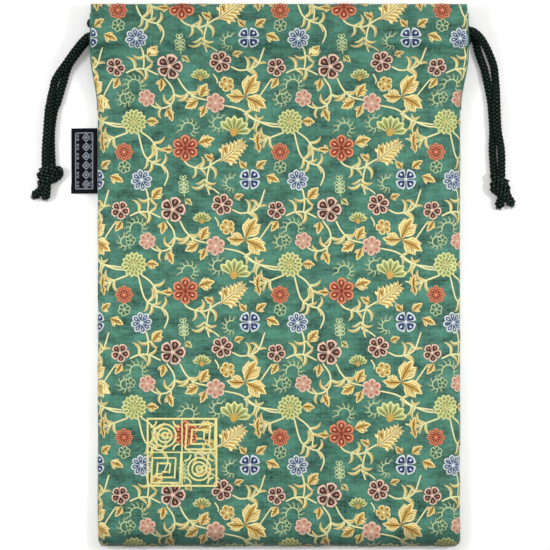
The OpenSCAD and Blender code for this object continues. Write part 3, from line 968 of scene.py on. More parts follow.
front_sheet = cloth_sheet(True, seed=0.6)
back_sheet = cloth_sheet(False, seed=2.9)
front_cloth = cloth_piece("front_cloth", front_sheet, GROUND, BROCADE)
back_cloth = cloth_piece("back_cloth", back_sheet, GROUND, BROCADE)
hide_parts("front_panel", "front_lip", "front_hem")
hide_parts("back_panel", "back_hem")
with_the_front(front_cloth)
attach(back_cloth, "pouch")

lining_front = cloth_piece(
    "front_lining_cloth", cloth_sheet(
        True, 0.75, HEM_END + 0.6, False, 110, 0.6
    ), LINING_CLOTH, LINING
)
lining_back = cloth_piece(
    "back_lining_cloth", cloth_sheet(
        False, 0.75, HEM_END + 0.6, False, 110, 2.9
    ), LINING_CLOTH, LINING
)
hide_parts("front_lining", "front_lip_lining")
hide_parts("back_lining")
with_the_front(lining_front)
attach(lining_back, "pouch")

# ---- woven figure ----

# Dark line round the blades: partly the figure's own outline, partly painted shade where a raised blade meets
# the ground; also its small dark eyes and veins.
DARK_LINE_AND_SHADE = linear(16, 38, 32)
CREAM = linear(240, 238, 190)
STEM = linear(224, 222, 158)
LEAF = linear(204, 164, 78)
LEAF_DARK = linear(92, 60, 24)
LEAF_LIGHT = linear(244, 230, 164)
SALMON = linear(222, 138, 98)
RED = linear(136, 44, 22)
PALE_ORANGE = linear(236, 172, 132)
BROWN = linear(62, 26, 24)
BROWN_LIGHT = linear(186, 128, 106)
PINK_LINE = linear(234, 200, 176)
BLUE = linear(22, 46, 104)
BLUE_GREY = linear(52, 78, 120)
ICE = linear(212, 222, 222)
PINK = linear(206, 150, 126)
PINK_DARK = linear(160, 100, 80)
LIME = linear(166, 178, 104)
LIME_LIGHT = linear(222, 226, 158)
LIME_DARK = linear(72, 90, 44)
SAGE = linear(192, 212, 160)
REPEAT = (85.5, 78.2)


class Figure:
    """Blades of colour on flat cloth. A blade is a line of points with a half width that swells and tapers
    along it.
    """

    def __init__(self):
        """kinds holds the blades by their number of rows."""
        self.kinds = {}

    def blade(self, line, width, colour, layer=0, root=1.0, tip=1.0, rows=6, edge=None, rim=0.26):
        """line is two ends, two ends and a control point between them, or a longer path.

        At t from 0 to 1 along it, the half width is width · t^root · (1 - t)^tip over the most that
        this reaches. rim is the width of the darker line round the blade, which fades from its own
        colour to edge: partly an outline, partly painted shade along the raised blade's edge.
        """
        line = np.asarray(line, float)
        t = np.linspace(0, 1, rows)[:, None]
        if len(line) == 2:
            path = line[0] * (1 - t) + line[1] * t
        elif len(line) == 3:
            path = line[0] * (1 - t) ** 2 + 2 * line[1] * t * (1 - t) + line[2] * t**2
        else:
            fine = smooth_path(line, 0.4)
            path = np.stack(
                [np.interp(t[:, 0], np.linspace(0, 1, len(fine)), fine[:, i]) for i in (0, 1)], 1
            )
        s = np.clip(t[:, 0], 0.002, 0.998)
        most = (root / (root + tip)) ** root * (tip / (root + tip)) ** tip
        half = width * s**root * (1 - s) ** tip / most
        colours = (DARK_LINE_AND_SHADE if edge is None else edge, colour)
        self.kinds.setdefault(rows, []).append((path, half, colours, layer, rim))

    def lay(self, name, sheet, stuff, slot, shifts=((0, 0),), lift=0.08, crown=0.04):
        """One piece of all the blades, copied at each shift and laid on the sheet.

        Four points go across a blade: its line's point plus and less its half width, and the same with the
        rim. On the sheet, such a place is found between four neighbouring points of the grid, and raised along
        the normal.
        """
        grids = []
        for rows, blades in self.kinds.items():
            path = np.array([b[0] for b in blades])
            half = np.array([b[1] for b in blades])[..., None]
            colours = np.array([b[2] for b in blades])
            layer = np.array([b[3] for b in blades], float)[:, None, None]
            rim = np.array([b[4] for b in blades])[:, None, None]
            along = unit(np.gradient(path, axis=1))
            normal = np.stack([-along[..., 1], along[..., 0]], -1)
            reach = half * [1, 1, -1, -1] + rim * [1, 0, 0, -1]
            flat = path[:, :, None] + normal[:, :, None] * reach[..., None]
            height = lift + 0.045 * layer + crown * (1 + np.minimum(half, 1)) * [0, 1, 1, 0]
            shade = np.broadcast_to(colours[:, [0, 1, 1, 0]][:, None], (len(blades), rows, 4, 3))
            flat = (flat[None] + np.array(shifts, float)[:, None, None, None]).reshape(-1, rows, 4, 2)
            height = np.tile(np.broadcast_to(height, (len(blades), rows, 4)), (len(shifts), 1, 1))
            grids.append((flat, height, np.tile(shade, (len(shifts), 1, 1, 1))))
        return lay_grids(name, sheet, grids, stuff)


def lie_on(sheet, a, b, height):
    """Points at lay (a, b) of a sheet, raised by height along its normal, and whether each is on it."""
    i = np.clip(np.searchsorted(sheet["a"], a) - 1, 0, len(sheet["a"]) - 2)
    j = np.clip(np.searchsorted(sheet["b"], b) - 1, 0, len(sheet["b"]) - 2)
    s = np.clip((a - sheet["a"][i]) / (sheet["a"][i + 1] - sheet["a"][i]), 0, 1)[..., None]
    t = np.clip((b - sheet["b"][j]) / (sheet["b"][j + 1] - sheet["b"][j]), 0, 1)[..., None]

    def between(grid):
        """The grid's value between its four points round each place."""
        low = grid[j, i] * (1 - s) + grid[j, i + 1] * s
        high = grid[j + 1, i] * (1 - s) + grid[j + 1, i + 1] * s
        return low * (1 - t) + high * t

    on = (a > sheet["a"][0]) & (a < sheet["a"][-1]) & (b > sheet["b"][0]) & (b < sheet["b"][-1])
    return between(sheet["points"]) + unit(between(sheet["normals"])) * height[..., None], on


def lay_grids(name, sheet, grids, stuff):
    """One piece from several stacks of flat grids, each with its own number of rows and columns."""
    made = []
    for k, (flat, height, shade) in enumerate(grids):
        points, on = lie_on(sheet, flat[..., 0], flat[..., 1], height)
        lay = flat
        if not sheet["front"]:
            points, on, lay, shade = points[:, :, ::-1], on[:, :, ::-1], flat[:, :, ::-1], shade[:, :, ::-1]
        made.append(surface(f"{name}_{k}", points, uv=lay, colour=shade, keep=on))
    bpy.ops.object.select_all(action="DESELECT")
    for piece in made:
        piece.select_set(True)
    bpy.context.view_layer.objects.active = made[0]
    bpy.ops.object.join()
    piece = made[0]
    piece.name = piece.data.name = name
    piece.data.materials.append(stuff)
    return piece


def turned(angle, length):
    """A step of some length at an angle in degrees."""
    return np.array([math.cos(math.radians(angle)), math.sin(math.radians(angle))]) * length


def flower(figure, at, radius, petals, turn, line, fill, spot, heart, layer=4):
    """Rosette: outlined petals round a heart, each with a paler fleck, and pale lines between them."""
    at = np.array(at, float)
    dark = tuple(0.45 * np.array(fill))
    for k in range(petals):
        angle = turn + 360 * k / petals
        wide = radius * 2.0 / petals
        figure.blade([at, at + turned(angle, radius - 0.2)], wide, line, layer, 1.5, 0.42, 7)
        root, tip = at + turned(angle, 0.16 * radius), at + turned(angle, 0.84 * radius)
        figure.blade([root, tip], 0.66 * wide, fill, layer + 1.5, 1.1, 0.5, 7, dark, 0.12)
        root, tip = at + turned(angle, 0.46 * radius), at + turned(angle, 0.74 * radius)
        figure.blade([root, tip], 0.18 * wide, spot, layer + 3, 0.8, 0.7, 4, fill, 0.12)
    middle = [at - [0.15 * radius, 0], at + [0.15 * radius, 0]]
    figure.blade(middle, 0.15 * radius, heart, layer + 3, 0.5, 0.5, 6, dark)


def leaf(figure, at, angle, length, lobes=2, fill=None, wide=0.22):
    """Pointed gold leaf with side lobes, a pale edge and dark veins."""
    at = np.array(at, float)
    layer = 2
    fill = LEAF if fill is None else fill
    bend = at + turned(angle + 9, length * 0.55)
    line = [at, bend, at + turned(angle, length)]
    figure.blade(line, length * wide, LEAF_LIGHT, layer + 0.5, 0.8, 1.0, 7)
    line = [at, bend, at + turned(angle, length * 0.92)]
    figure.blade(line, length * wide * 0.62, fill, layer + 1.2, 0.8, 1.0, 6, LEAF_LIGHT)
    for k in range(lobes):
        share = 0.16 + 0.44 * k / max(lobes, 1)
        root = at + turned(angle, length * share)
        reach = length * (0.54 - 0.22 * share)
        for side in (-1, 1):
            way = angle + side * (50 - 14 * share)
            figure.blade([root, root + turned(way, reach)], reach * 0.2, LEAF_LIGHT, layer, 0.8, 0.8, 5)
            line = [root, root + turned(way, reach * 0.86)]
            figure.blade(line, 0.2, fill, layer + 1.5, 0.3, 0.9, 4, LEAF_DARK, 0.16)
    for side in (-1, 1):
        root = at + turned(angle, length * 0.4)
        vein = [root, root + turned(angle + side * 38, length * 0.3)]
        figure.blade(vein, 0.1, LEAF_DARK, layer + 3, 0.4, 0.8, 3, fill, 0.1)
    vein = [at, bend, at + turned(angle, length * 0.86)]
    figure.blade(vein, 0.2, LEAF_DARK, layer + 3, 0.3, 0.9, 6, LEAF_DARK, 0.08)


def vine(figure, points, width=0.38, hooks=()):
    """A stem along points, with small paired leaves at some shares of its length."""
    figure.blade(points, width, STEM, 0, 0.10, 0.12, 22, rim=0.22)
    figure.blade(points, width * 0.3, CREAM, 1, 0.10, 0.12, 22, STEM, 0.1)
    fine = smooth_path(points, 0.5)
    for share, turn, length in hooks:
        k = int(share * (len(fine) - 2))
        along = math.degrees(math.atan2(*(fine[k + 1] - fine[k])[::-1]))
        for lean, size in ((turn, 1.5), (-0.55 * turn, 1.2)):
            way, reach = along + 0.7 * lean, length * size
            bend = fine[k] + turned(way, reach * 0.75)
            tip = fine[k] + turned(way + lean * 0.75, reach)
            figure.blade([fine[k], bend, tip], reach * 0.105, STEM, 1, 0.6, 0.9, 7)
            heart = [fine[k] + (bend - fine[k]) * 0.35, bend, tip]
            figure.blade(heart, reach * 0.04, LEAF, 2.5, 0.6, 0.9, 5, CREAM, 0.1)


def fern(figure, at, radius, first, sweep, hooks):
    """Fern curl: a thin arc with short curled hooks round its outside, each with a small eye."""
    at = np.array(at, float)
    arc = [at + turned(first + sweep * k / 7, radius * (1 - 0.35 * k / 7)) for k in range(8)]
    figure.blade(arc, 0.24, SAGE, 1, 0.1, 0.4, 14)
    lean = np.sign(sweep)
    for k in range(hooks):
        share = k / (hooks - 1)
        angle = first + sweep * share
        root = at + turned(angle, radius * (1 - 0.35 * share))
        out = root + turned(angle - 14 * lean, radius * 0.62)
        bend = root + turned(angle + 20 * lean, radius * 0.42)
        figure.blade([root, bend, out], 0.2, SAGE, 1, 0.3, 0.4, 5, rim=0.14)
        figure.blade([out - turned(angle, 0.45), out + turned(angle, 0.65)], 0.46, SAGE, 2, 0.5, 0.5, 4)
        figure.blade([out - turned(angle, 0.15), out + turned(angle, 0.4)], 0.14, DARK_LINE_AND_SHADE, 4, 0.5, 0.5, 3)


def chrysanthemum(figure, at, radius, petals):
    """Full flower: two rings of narrow outlined petals and a dotted middle."""
    at = np.array(at, float)
    for ring, (share, count) in enumerate(((1.0, petals), (0.62, petals - 4))):
        for k in range(count):
            angle = 360 * k / count + 11 * ring
            reach = radius * share
            over = 2 * ring
            petal = [at, at + turned(angle, reach)]
            figure.blade(petal, reach * 2.7 / count, LIME_LIGHT, 3 + over, 1.4, 0.4, 6)
            petal = [at + turned(angle, 0.2 * reach), at + turned(angle, 0.9 * reach)]
            figure.blade(petal, reach * 1.6 / count, LIME, 4 + over, 1.2, 0.4, 6, LIME_DARK, 0.14)
            vein = [at + turned(angle, 0.5 * reach), at + turned(angle, 0.8 * reach)]
            figure.blade(vein, 0.1, LEAF_DARK, 6 + over, 0.5, 0.6, 3, LIME_DARK, 0.08)
    for k in range(7):
        spot = at + turned(51.4 * k, radius * 0.13 * (k > 0))
        dot = [spot - [0.35, 0], spot + [0.35, 0]]
        figure.blade(dot, 0.35, LEAF if k % 2 else LIME_LIGHT, 9, 0.5, 0.5, 4, LEAF_DARK)


def cup_flower(figure, at, radius, turn):
    """Half-open flower: a fan of striped petals over a small calyx."""
    at = np.array(at, float)
    for k in range(6):
        angle = turn + 26 * (k - 2.5)
        figure.blade([at, at + turned(angle, radius)], radius * 0.19, LIME_LIGHT, 3, 1.2, 0.4, 6)
        root, tip = at + turned(angle, 0.15 * radius), at + turned(angle, 0.9 * radius)
        figure.blade([root, tip], radius * 0.11, LIME, 4, 1.0, 0.4, 6, LIME_DARK, 0.16)
        root, tip = at + turned(angle, 0.25 * radius), at + turned(angle, 0.78 * radius)
        figure.blade([root, tip], 0.12, LEAF_DARK, 6, 0.4, 0.6, 4, LIME_DARK, 0.1)
    calyx = [at - turned(turn, 0.22 * radius), at + turned(turn, 0.3 * radius)]
    figure.blade(calyx, 0.2 * radius, LEAF, 7, 0.6, 0.6, 6)


def frond(figure, at, angle, length):
    """Broad gold frond: a midrib with pointed lobes on both sides, shorter towards its tip."""
    at = np.array(at, float)
    count = 6
    for k in range(count):
        share = k / count
        root = at + turned(angle, length * (0.10 + 0.78 * share))
        reach = length * (0.46 - 0.26 * share)
        for side in (-1, 1):
            way = angle + side * (50 - 14 * share)
            bend = root + turned(way - 14 * side, reach * 0.6)
            lobe = [root, bend, root + turned(way, reach)]
            figure.blade(lobe, reach * 0.12, LEAF_LIGHT, 2, 0.7, 0.8, 6, rim=0.24)
            lobe = [root, bend, root + turned(way, reach * 0.9)]
            figure.blade(lobe, reach * 0.045, LEAF, 3.4, 0.7, 0.8, 5, LEAF_DARK, 0.16)
            start = root + turned(way, reach * 0.45)
            tooth = [start, start + turned(way + side * 38, reach * 0.34)]
            figure.blade(tooth, reach * 0.08, LEAF_LIGHT, 2.5, 0.7, 0.8, 4)
    figure.blade([at, at + turned(angle, length)], length * 0.045, LEAF_LIGHT, 4, 0.6, 0.9, 7)
    figure.blade([at, at + turned(angle, length * 0.9)], 0.12, LEAF_DARK, 6, 0.3, 0.8, 6, LEAF_DARK, 0.1)


def outlined_sprig(figure, at, angle, length):
    """Fine sprig in outline: a thin stem with pairs of small open petals."""
    at = np.array(at, float)
    loops = 3
    figure.blade([at, at + turned(angle, length)], 0.18, SAGE, 1, 0.1, 0.3, 5)
    for k in range(loops + 1):
        root = at + turned(angle, length * (0.2 + 0.6 * k / loops))
        for side in (-1, 1):
            way = angle + side * (56 if k < loops else 26)
            figure.blade([root, root + turned(way, length * 0.30)], length * 0.085, SAGE, 1, 0.8, 0.5, 5)
            inside = [root + turned(way, length * 0.09), root + turned(way, length * 0.26)]
            figure.blade(inside, length * 0.04, linear(70, 118, 92), 2.5, 0.8, 0.5, 5, SAGE, 0.08)
            vein = [root + turned(way, length * 0.17), inside[1]]
            figure.blade(vein, 0.14, DARK_LINE_AND_SHADE, 4, 0.5, 0.5, 3, DARK_LINE_AND_SHADE, 0.08)


def open_blossom(figure, at, radius, petals, turn):
    """Blossom in fine outline, with the ground showing in its petals."""
    flower(figure, at, radius, petals, turn, SAGE, linear(70, 118, 92), DARK_LINE_AND_SHADE, SAGE, 1)


def arabesque():
    """One repeat of the figure: stems with ferns and sprigs, gold leaves, and blossoms, each a Figure."""
    stems, leaves, blossoms = Figure(), Figure(), Figure()

    def at(x, y):
        """A place x right of the repeat's upper left corner and y below it."""
        return (x, -y)

    def stem(*points, hooks=(), width=0.38):
        """A vine through such places."""
        vine(stems, [at(*p) for p in points], width, hooks)

    stem(
        (15.5, 11), (19, 23.5), (24, 28), (29.5, 29.8), (32, 34.5), (30, 40.5),
        hooks=((0.42, 80, 5), (0.5, -60, 4.6), (0.66, 60, 4.4))
    )
    stem((17, 10.8), (22.5, 15), (25.8, 20.5), (25.5, 27.6), hooks=((0.45, 55, 4.6), (0.62, 40, 4.2)))
    stem((19.2, 41), (22.4, 46.6), (20.6, 55), hooks=((0.5, -60, 4.6),))
    stem((11, 57), (16.4, 54.8), (22, 55.2), (28, 58), hooks=((0.3, 70, 5), (0.62, -70, 5)))
    stem(
        (40, 26), (44, 29.6), (52, 31), (58, 27.5), (64, 24.4),
        hooks=((0.42, 60, 4.4), (0.62, -70, 5), (0.3, -60, 4))
    )
    stem((54.8, 30.4), (51.8, 38.4), (54.8, 45.4), hooks=((0.45, 60, 4.6), (0.6, -60, 4.8)))
    stem((52.4, 40), (57, 42), (60.2, 45), width=0.3)
    stem(
        (31.2, 59.6), (35, 65.2), (35.4, 71.4), (31.6, 75.6), (26, 76), (21.3, 73.4),
        hooks=((0.35, 60, 4.6), (0.55, -70, 4.4), (0.75, 60, 3.8))
    )
    stem((38.4, 59.6), (41.6, 65.4), (46.6, 70), (54.2, 72), hooks=((0.45, -65, 5), (0.55, 60, 4.6)))
    stem(
        (67.2, 53.6), (72.7, 55.6), (81, 52.8), (85.1, 42.6),
        hooks=((0.35, 60, 5), (0.42, -60, 5), (0.62, 60, 4))
    )
    stem((63, 74.8), (72, 77), (79, 82), (88, 86), (95, 86.4), hooks=((0.35, 60, 4.6), (0.55, -60, 4.4)))
    stem((7, 7), (2, 6.4), (-5, 5), (-12, 1), hooks=((0.5, 60, 4.4),))
    stem(
        (10.3, 11.2), (4, 13.6), (-3, 16), (-9, 14.6),
        hooks=((0.4, 60, 4.6), (0.5, -60, 4.8), (0.75, 70, 4))
    )
    stem((3.4, 60), (0, 65), (-3.4, 70.2), (-4, 74), width=0.3)
    stem((57.6, 57.6), (60.6, 61.4), (59.2, 62.6), width=0.3)

    chrysanthemum(blossoms, at(13.4, 5.5), 6.9, 14)
    leaf(leaves, at(20, 5.2), -4, 7, 2)
    flower(blossoms, at(7.9, 22), 5.2, 8, 0, SALMON, RED, PALE_ORANGE, SALMON)
    open_blossom(stems, at(8, 30.2), 3.7, 6, 20)
    leaf(leaves, at(0.2, 35.2), -24, 8, 1)
    flower(blossoms, at(17.5, 37.4), 6.1, 8, 10, ICE, BLUE_GREY, ICE, ICE)
    leaf(leaves, at(23.4, 48), 50, 8.5, 2, wide=0.25)
    flower(blossoms, at(41.5, 19.9), 7.5, 6, 90, SALMON, RED, PALE_ORANGE, RED, 5)
    leaf(leaves, at(35, 20.8), 174, 6.4, 1)
    leaf(leaves, at(48.6, 17.4), 16, 9.4, 2)
    fern(stems, at(43.4, 9.4), 4.0, 190, -250, 9)
    fern(stems, at(59.6, 6.6), 3.6, 60, 250, 8)
    cup_flower(blossoms, at(68, 11.6), 9.4, 74)
    frond(leaves, at(60, 27.6), 38, 19)
    leaf(leaves, at(81, 18.4), 84, 7.6, 1, wide=0.2)
    leaf(leaves, at(81, 17), -80, 5.6, 1, wide=0.2)
    flower(blossoms, at(76.8, 37), 6.1, 4, 45, ICE, BLUE, ICE, ICE, 5)
    leaf(leaves, at(75, 31), 132, 5.8, 1)
    leaf(leaves, at(80.2, 31), 36, 7.2, 1)
    fern(stems, at(66.6, 39.4), 3.4, 70, 220, 8)
    flower(blossoms, at(5.8, 53.9), 5.3, 5, 62, PINK_LINE, BROWN, BROWN_LIGHT, PINK_LINE)
    flower(blossoms, at(34.6, 53.5), 7.2, 5, 0, PINK_LINE, BROWN, BROWN_LIGHT, PINK_LINE, 5)
    flower(blossoms, at(61.7, 50.8), 6.2, 6, 75, PINK_LINE, BROWN, BROWN_LIGHT, PINK_LINE, 5)
    outlined_sprig(stems, at(41, 46.6), 94, 11)
    leaf(leaves, at(41.2, 47.8), -40, 5.2, 1, fill=LIME)
    cup_flower(blossoms, at(50.6, 60.2), 5.4, 90)
    flower(blossoms, at(64.5, 63.1), 4.4, 5, 40, LEAF_LIGHT, LEAF, LEAF_DARK, LEAF_LIGHT, 3)
    leaf(leaves, at(6.6, 59.6), -122, 7, 1)
    leaf(leaves, at(29.6, 60), -100, 7.2, 1)
    leaf(leaves, at(50, 70.4), 62, 8.6, 2, wide=0.24)
    leaf(leaves, at(48.6, 71.6), 212, 8.6, 2, wide=0.24)
    leaf(leaves, at(31.4, 76.6), -66, 7.6, 1)
    leaf(leaves, at(52.4, 74.6), -112, 7.2, 1)
    fern(stems, at(15.2, 64), 4.2, 200, -230, 9)
    fern(stems, at(8.6, 71.4), 3.2, 60, 250, 7)
    open_blossom(stems, at(11.4, 70.4), 3.0, 5, 10)
    flower(blossoms, at(20.6, 70.7), 4.9, 6, 20, PINK_LINE, PINK, PINK_DARK, PINK_LINE, 3)
    flower(blossoms, at(58, 73.4), 5.6, 6, 85, PINK_LINE, PINK, PINK_DARK, PINK_LINE, 3)
    leaf(leaves, at(74.2, 70), 176, 10.2, 3, wide=0.2)
    leaf(leaves, at(74.4, 69.6), 62, 13.4, 4, wide=0.2)
    leaf(leaves, at(74.6, 70.4), -28, 12.8, 4, wide=0.2)
    leaf(leaves, at(63.8, 22.6), 100, 4.4, 0, wide=0.2)
    leaf(leaves, at(57.2, 26.2), 150, 6, 1)
    leaf(leaves, at(68.2, 47.4), 20, 5.6, 1)
    return {"stems": stems, "leaves": leaves, "blossoms": blossoms}


def repeats(sheet, corner):
    """Shifts of the repeat that cover a sheet, with one repeat's corner at a place on it."""
    a, b = sheet["a"], sheet["b"]
    outer = sheet["inside"] == 0
    across = np.interp(corner[0], sheet["points"][len(b) // 3, :, 0], a)
    first = np.array([across, np.interp(corner[1], sheet["rows"][outer], b[outer])])
    left = math.floor((a[0] - first[0] - 12) / REPEAT[0])
    right = math.ceil((a[-1] - first[0] + 14) / REPEAT[0])
    low = math.floor((b[0] - first[1] - 10) / REPEAT[1])
    high = math.ceil((b[-1] - first[1] + 90) / REPEAT[1])
    steps = [(i, j) for i in range(left, right + 1) for j in range(low, high + 1)]
    return [(first[0] + i * REPEAT[0], first[1] + j * REPEAT[1]) for i, j in steps]


front_repeats = repeats(front_sheet, (-92.8, 89.8))
back_repeats = repeats(back_sheet, (-71, 63))
for kind, figure in arabesque().items():
    with_the_front(figure.lay(f"{kind}_front", front_sheet, YARN, "brocade", front_repeats))
    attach(figure.lay(f"{kind}_back", back_sheet, YARN, "brocade", back_repeats), "pouch")

# ---- seal ----


def seal_figure(wide, tall):
    """Gold seal: a square frame round two square spirals and two nests of rings with arcs in the corners."""
    figure = Figure()
    thick = 0.46
    w, h = wide / 2 - thick, tall / 2 - thick

    def bar(*points, width=0.42, rows=12):
        """A gold line of even width."""
        # Its thin rim of darker gold is painted shade along the line's edge.
        figure.blade(points, width, CREAM, 1, 0.02, 0.02, rows, LEAF, 0.08)

    for side in (-1, 1):
        bar((side * w, -h - thick), (side * w, h + thick), width=thick, rows=24)
        bar((-w - thick, side * h), (w + thick, side * h), width=thick, rows=24)
    bar((0, -h), (0, h), width=0.3, rows=24)
    bar((-w, 0), (w, 0), width=0.3, rows=24)
    pitch = w / 6.4
    for sx in (-1, 1):
        for sy in (-1, 1):
            middle = np.array([sx * w / 2, sy * h / 2])
            if sx == sy:
                for k in range(10):
                    reach = pitch * (0.55 + 0.5 * k / 2)
                    one = middle + reach * np.array([(-1, -1), (1, -1), (1, 1), (-1, 1)][k % 4])
                    other = middle + (reach + pitch / 4 * (k % 2)) * np.array(
                        [(1, -1), (1, 1), (-1, 1), (-1, -1)][k % 4]
                    )
                    bar(one, other, rows=8)
                continue
            for ring in (0.55, 1.3, 2.1):
                points = [middle + turned(20 * k, ring * pitch) for k in range(19)]
                bar(*points[:10], rows=12)
                bar(*points[9:], rows=12)
            for k in range(4):
                corner = middle + turned(90 * k + 45, 3.85 * pitch)
                bar(*[corner + turned(90 * k + 180 + 15 * m, 1.15 * pitch) for m in range(7)], rows=10)
    return figure


seal_middle = (SEAL[0] + SEAL[1]) / 2 - [MIDDLE, 0, 0]
seal_span = SEAL[1] - SEAL[0]
outer_part = front_sheet["inside"] == 0
seal_lay = (
    np.interp(seal_middle[0], front_sheet["points"][len(front_sheet["b"]) // 3, :, 0], front_sheet["a"]),
    np.interp(seal_middle[1], front_sheet["rows"][outer_part], front_sheet["b"][outer_part]),
)
seal = seal_figure(seal_span[0], seal_span[1]).lay(
    "gold_seal_figure", front_sheet, GOLD, "gold_foil", [seal_lay], lift=0.5
)
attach(seal, "pouch")
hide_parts("gold_seal")

# ---- woven label ----


def folded_label():
    """Ribbon folded in half: along its width it goes out on top, round the fold and back underneath.

    It leans from the seam to the floor, and its free end lifts and dips a little along its length.
    """
    length = LABEL[1][1] - LABEL[0][1]
    middle = (LABEL[1][1] + LABEL[0][1]) / 2
    hinge = LABEL[1][0] - MIDDLE
    out, half = 15.2, 0.27
    lean = math.asin((SEAM_Z - 0.5) / (out - half))
    flat = out - half
    bend = np.linspace(0.3, np.pi - 0.3, 6)
    across = np.concatenate([np.linspace(0, flat, 26), flat + half * np.sin(bend), np.linspace(flat, 0, 26)])
    above = np.concatenate([np.full(26, half), half * np.cos(bend), np.full(26, -half)])
    y = np.linspace(-length / 2, length / 2, 60)[:, None]
    swell = 0.25 * (across / flat)[None] * np.sin(y / 9 + 0.6) * np.where(above > 0, 1, 0.3)[None]
    gape = np.where(above > 0, 1, 0.2) * 0.25 * np.sin(np.pi * np.clip(across / flat, 0, 1))
    z = above + gape + swell
    x = hinge - across[None] * math.cos(lean) + z * math.sin(lean) * -1 * 0.3
    height = SEAM_Z - across[None] * math.sin(lean) + z * math.cos(lean)
    points = np.stack(np.broadcast_arrays(x, middle + y, np.maximum(height, 0.24)), -1)
    lay = np.concatenate([[0], np.cumsum(np.hypot(np.diff(across), np.diff(above)))])
    normals = unit(np.cross(np.gradient(points, axis=0), np.gradient(points, axis=1)))
    return {"points": points, "normals": normals, "a": lay, "b": y[:, 0] - y[0, 0], "front": False}


def label_figure(sheet):
    """Plain silver ornament: a thin frame, a chain of lozenges with small stars, and rows of short dashes."""
    figure = Figure()
    tall = sheet["b"][-1]
    low, high = 2.6, tall - 2.6
    left, right = 2.6, 12.6

    def bar(*points, width=0.22, rows=20):
        """A silver line of even width."""
        figure.blade(points, width, CREAM, 1, 0.03, 0.03, rows, CREAM, 0.05)

    for a in (left, right):
        bar((a, low), (a, high))
    for b in (low, high):
        bar((left, b), (right, b), rows=8)
    middle = (left + right) / 2 - 1.2
    count = 6
    step = (high - low) / count
    for k in range(count):
        centre = np.array([middle, low + step * (k + 0.5)])
        corners = [
            centre + np.array(c) * [2.1, step * 0.42] for c in ((1, 0), (0, 1), (-1, 0), (0, -1), (1, 0))
        ]
        for one, other in zip(corners, corners[1:]):
            bar(one, other, rows=5, width=0.26)
        for way in (0, 60, 120):
            bar(centre - turned(way, 0.95), centre + turned(way, 0.95), rows=4, width=0.2)
        for side, size in ((right - 1.3, 0.7), (left + 0.9, 0.35)):
            for m in range(4):
                b = low + step * (k + 0.2 + 0.2 * m)
                bar((side - size, b), (side + size, b + 0.25 * (-1) ** m), rows=3, width=0.2)
    return figure


label_sheet = folded_label()
label = surface(
    "label_ribbon",
    label_sheet["points"][:, ::-1],
    uv=np.stack(np.broadcast_arrays(label_sheet["a"][None], label_sheet["b"][:, None]), -1)[:, ::-1],
)
label.data.materials.append(RIBBON)
wall = label.modifiers.new("thickness", "SOLIDIFY")
wall.thickness, wall.offset = 0.34 * MM, -1
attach(label, "label")
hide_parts("woven_label")
label_ornament = label_figure(label_sheet).lay(
    "label_ornament", label_sheet, SILVER, "label", lift=0.05, crown=0.05
)
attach(label_ornament, "label")

# ---- stitches ----


def stitches(name, middles, along, up, node_name):
    """Sewing stitches: each a thin round thread that comes out of the cloth, lies along it and goes back in.

    Its middle line is a low arch, and its ends go down as the fourth power of the distance from its middle.
    """
    t = np.linspace(-1, 1, 8)
    angle = np.arange(6) * np.pi / 3
    along, up = unit(np.asarray(along, float)), unit(np.asarray(up, float))
    side = np.cross(up, along)
    line = np.asarray(middles)[:, None] + along[:, None] * (t * STITCH / 2)[None, :, None]
    line = line - up[:, None] * (0.55 * t**4)[None, :, None]
    ring = side[:, None] * np.cos(angle)[None, :, None] + up[:, None] * np.sin(angle)[None, :, None]
    points = line[:, :, None] + ring[:, None] * THREAD_WIDE / 2
    uv = np.stack(np.broadcast_arrays(np.linspace(0, 1, 7)[None, None], (t * STITCH / 2)[None, :, None]), -1)
    piece = surface(name, points, closed=True, caps=True, uv=np.broadcast_to(uv, (len(points), 8, 7, 2)))
    piece.data.materials.append(THREAD)
    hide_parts(node_name)
    return piece


def casing_stitches(sheet, node_name, name):
    """Stitches along the casing, on the outer face of the sheet."""
    low, high = box_mm(node_name)
    count = int(round((high[0] - low[0] - STITCH) / STITCH_STEP)) + 1
    x = np.linspace(low[0] + STITCH / 2, high[0] - STITCH / 2, count) - MIDDLE
    row = int(np.argmin(np.abs(np.where(sheet["inside"] == 0, sheet["rows"], 999) - CASING)))
    line = sheet["points"][row]
    z = np.interp(x, line[:, 0], line[:, 2])
    up = np.tile([0.0, 0.0, 1.0 if sheet["front"] else -1.0], (count, 1))
    middles = np.stack([x, np.full(count, CASING), z], -1) + up * 0.14
    return stitches(name, middles, np.tile([1.0, 0, 0], (count, 1)), up, node_name)


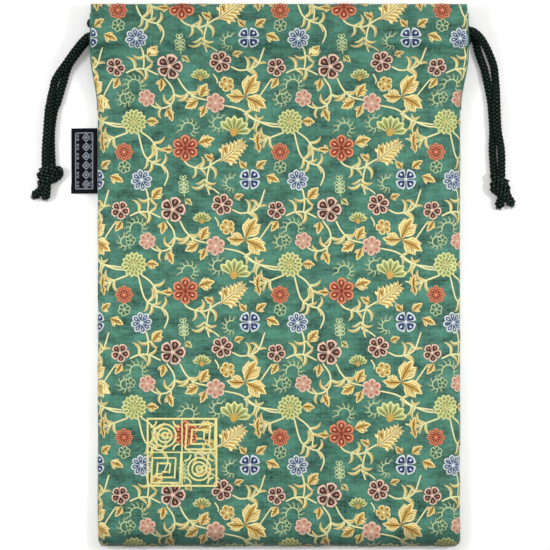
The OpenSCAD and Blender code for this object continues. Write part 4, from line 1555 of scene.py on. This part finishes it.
front_stitches = casing_stitches(front_sheet, "front_casing_stitches", "front_casing_thread")
with_the_front(front_stitches)
back_stitches = casing_stitches(back_sheet, "back_casing_stitches", "back_casing_thread")
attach(back_stitches, "pouch")
for seam, along in (("left_seam_thread", 1), ("right_seam_thread", 1), ("bottom_seam_thread", 0)):
    low, high = box_mm(seam)
    middle = (low + high) / 2 - [MIDDLE, 0, 0]
    count = int(round((high[along] - low[along] - STITCH) / STITCH_STEP)) + 1
    middles = np.tile(middle, (count, 1))
    middles[:, along] = np.linspace(low[along] + 1.1, high[along] - 1.1, count) - (0 if along else MIDDLE)
    way = np.eye(3)[along]
    seam_stitches = stitches(
        seam + "_stitches", middles, np.tile(way, (count, 1)), np.tile([0, 0, 1.0], (count, 1)), seam
    )
    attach(seam_stitches, "pouch")

# ---- turned edges of the slits ----


def slit_edge(name, sheet, side):
    """Turned edge along an open slit: the cloth goes round a small half circle and a little way inside."""
    outer = (sheet["inside"] == 0) & (sheet["rows"] >= SLIT - 1) & (sheet["rows"] <= TOP - 5)
    column = -1 if side > 0 else 0
    edge = sheet["points"][outer, column]
    sign = 1 if sheet["front"] else -1
    bend = np.linspace(0, np.pi, 9)
    out = np.concatenate([[-1.2], 0.62 * np.sin(bend) + 0.02, np.linspace(-0.8, -4.5, 4)])
    deep = np.concatenate([[-0.06], 0.62 * (1 - np.cos(bend)) - 0.08, np.full(4, 1.16)])
    room = smooth((edge[:, 1] - SLIT) / 10)[:, None]
    x = edge[:, :1] + side * out[None]
    z = edge[:, 2:] - sign * deep[None] * (0.25 + 0.75 * room)
    y = np.broadcast_to(edge[:, 1:2], x.shape)
    points = np.stack([x, y, z], -1)
    lay = np.stack(np.broadcast_arrays(np.linspace(0, 7, 14)[None], edge[:, 1:2] - SLIT), -1)
    if side * sign < 0:
        points, lay = points[:, ::-1], lay[:, ::-1]
    piece = surface(name, points, uv=lay)
    piece.data.materials.append(GROUND)
    body = piece.modifiers.new("thickness", "SOLIDIFY")
    body.thickness, body.offset = 0.3 * MM, -1
    return piece


for side, word in ((1, "right"), (-1, "left")):
    with_the_front(slit_edge(f"front_{word}_slit_edge", front_sheet, side))
    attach(slit_edge(f"back_{word}_slit_edge", back_sheet, side), "pouch")

# ---- floor ----


floor = surface(
    "floor",
    np.array([[[-2000, -2000, 0], [2000, -2000, 0]], [[-2000, 2000, 0], [2000, 2000, 0]]]) - [0, 0, 0.05]
)
floor.data.materials.append(BOARD)

bpy.context.view_layer.update()
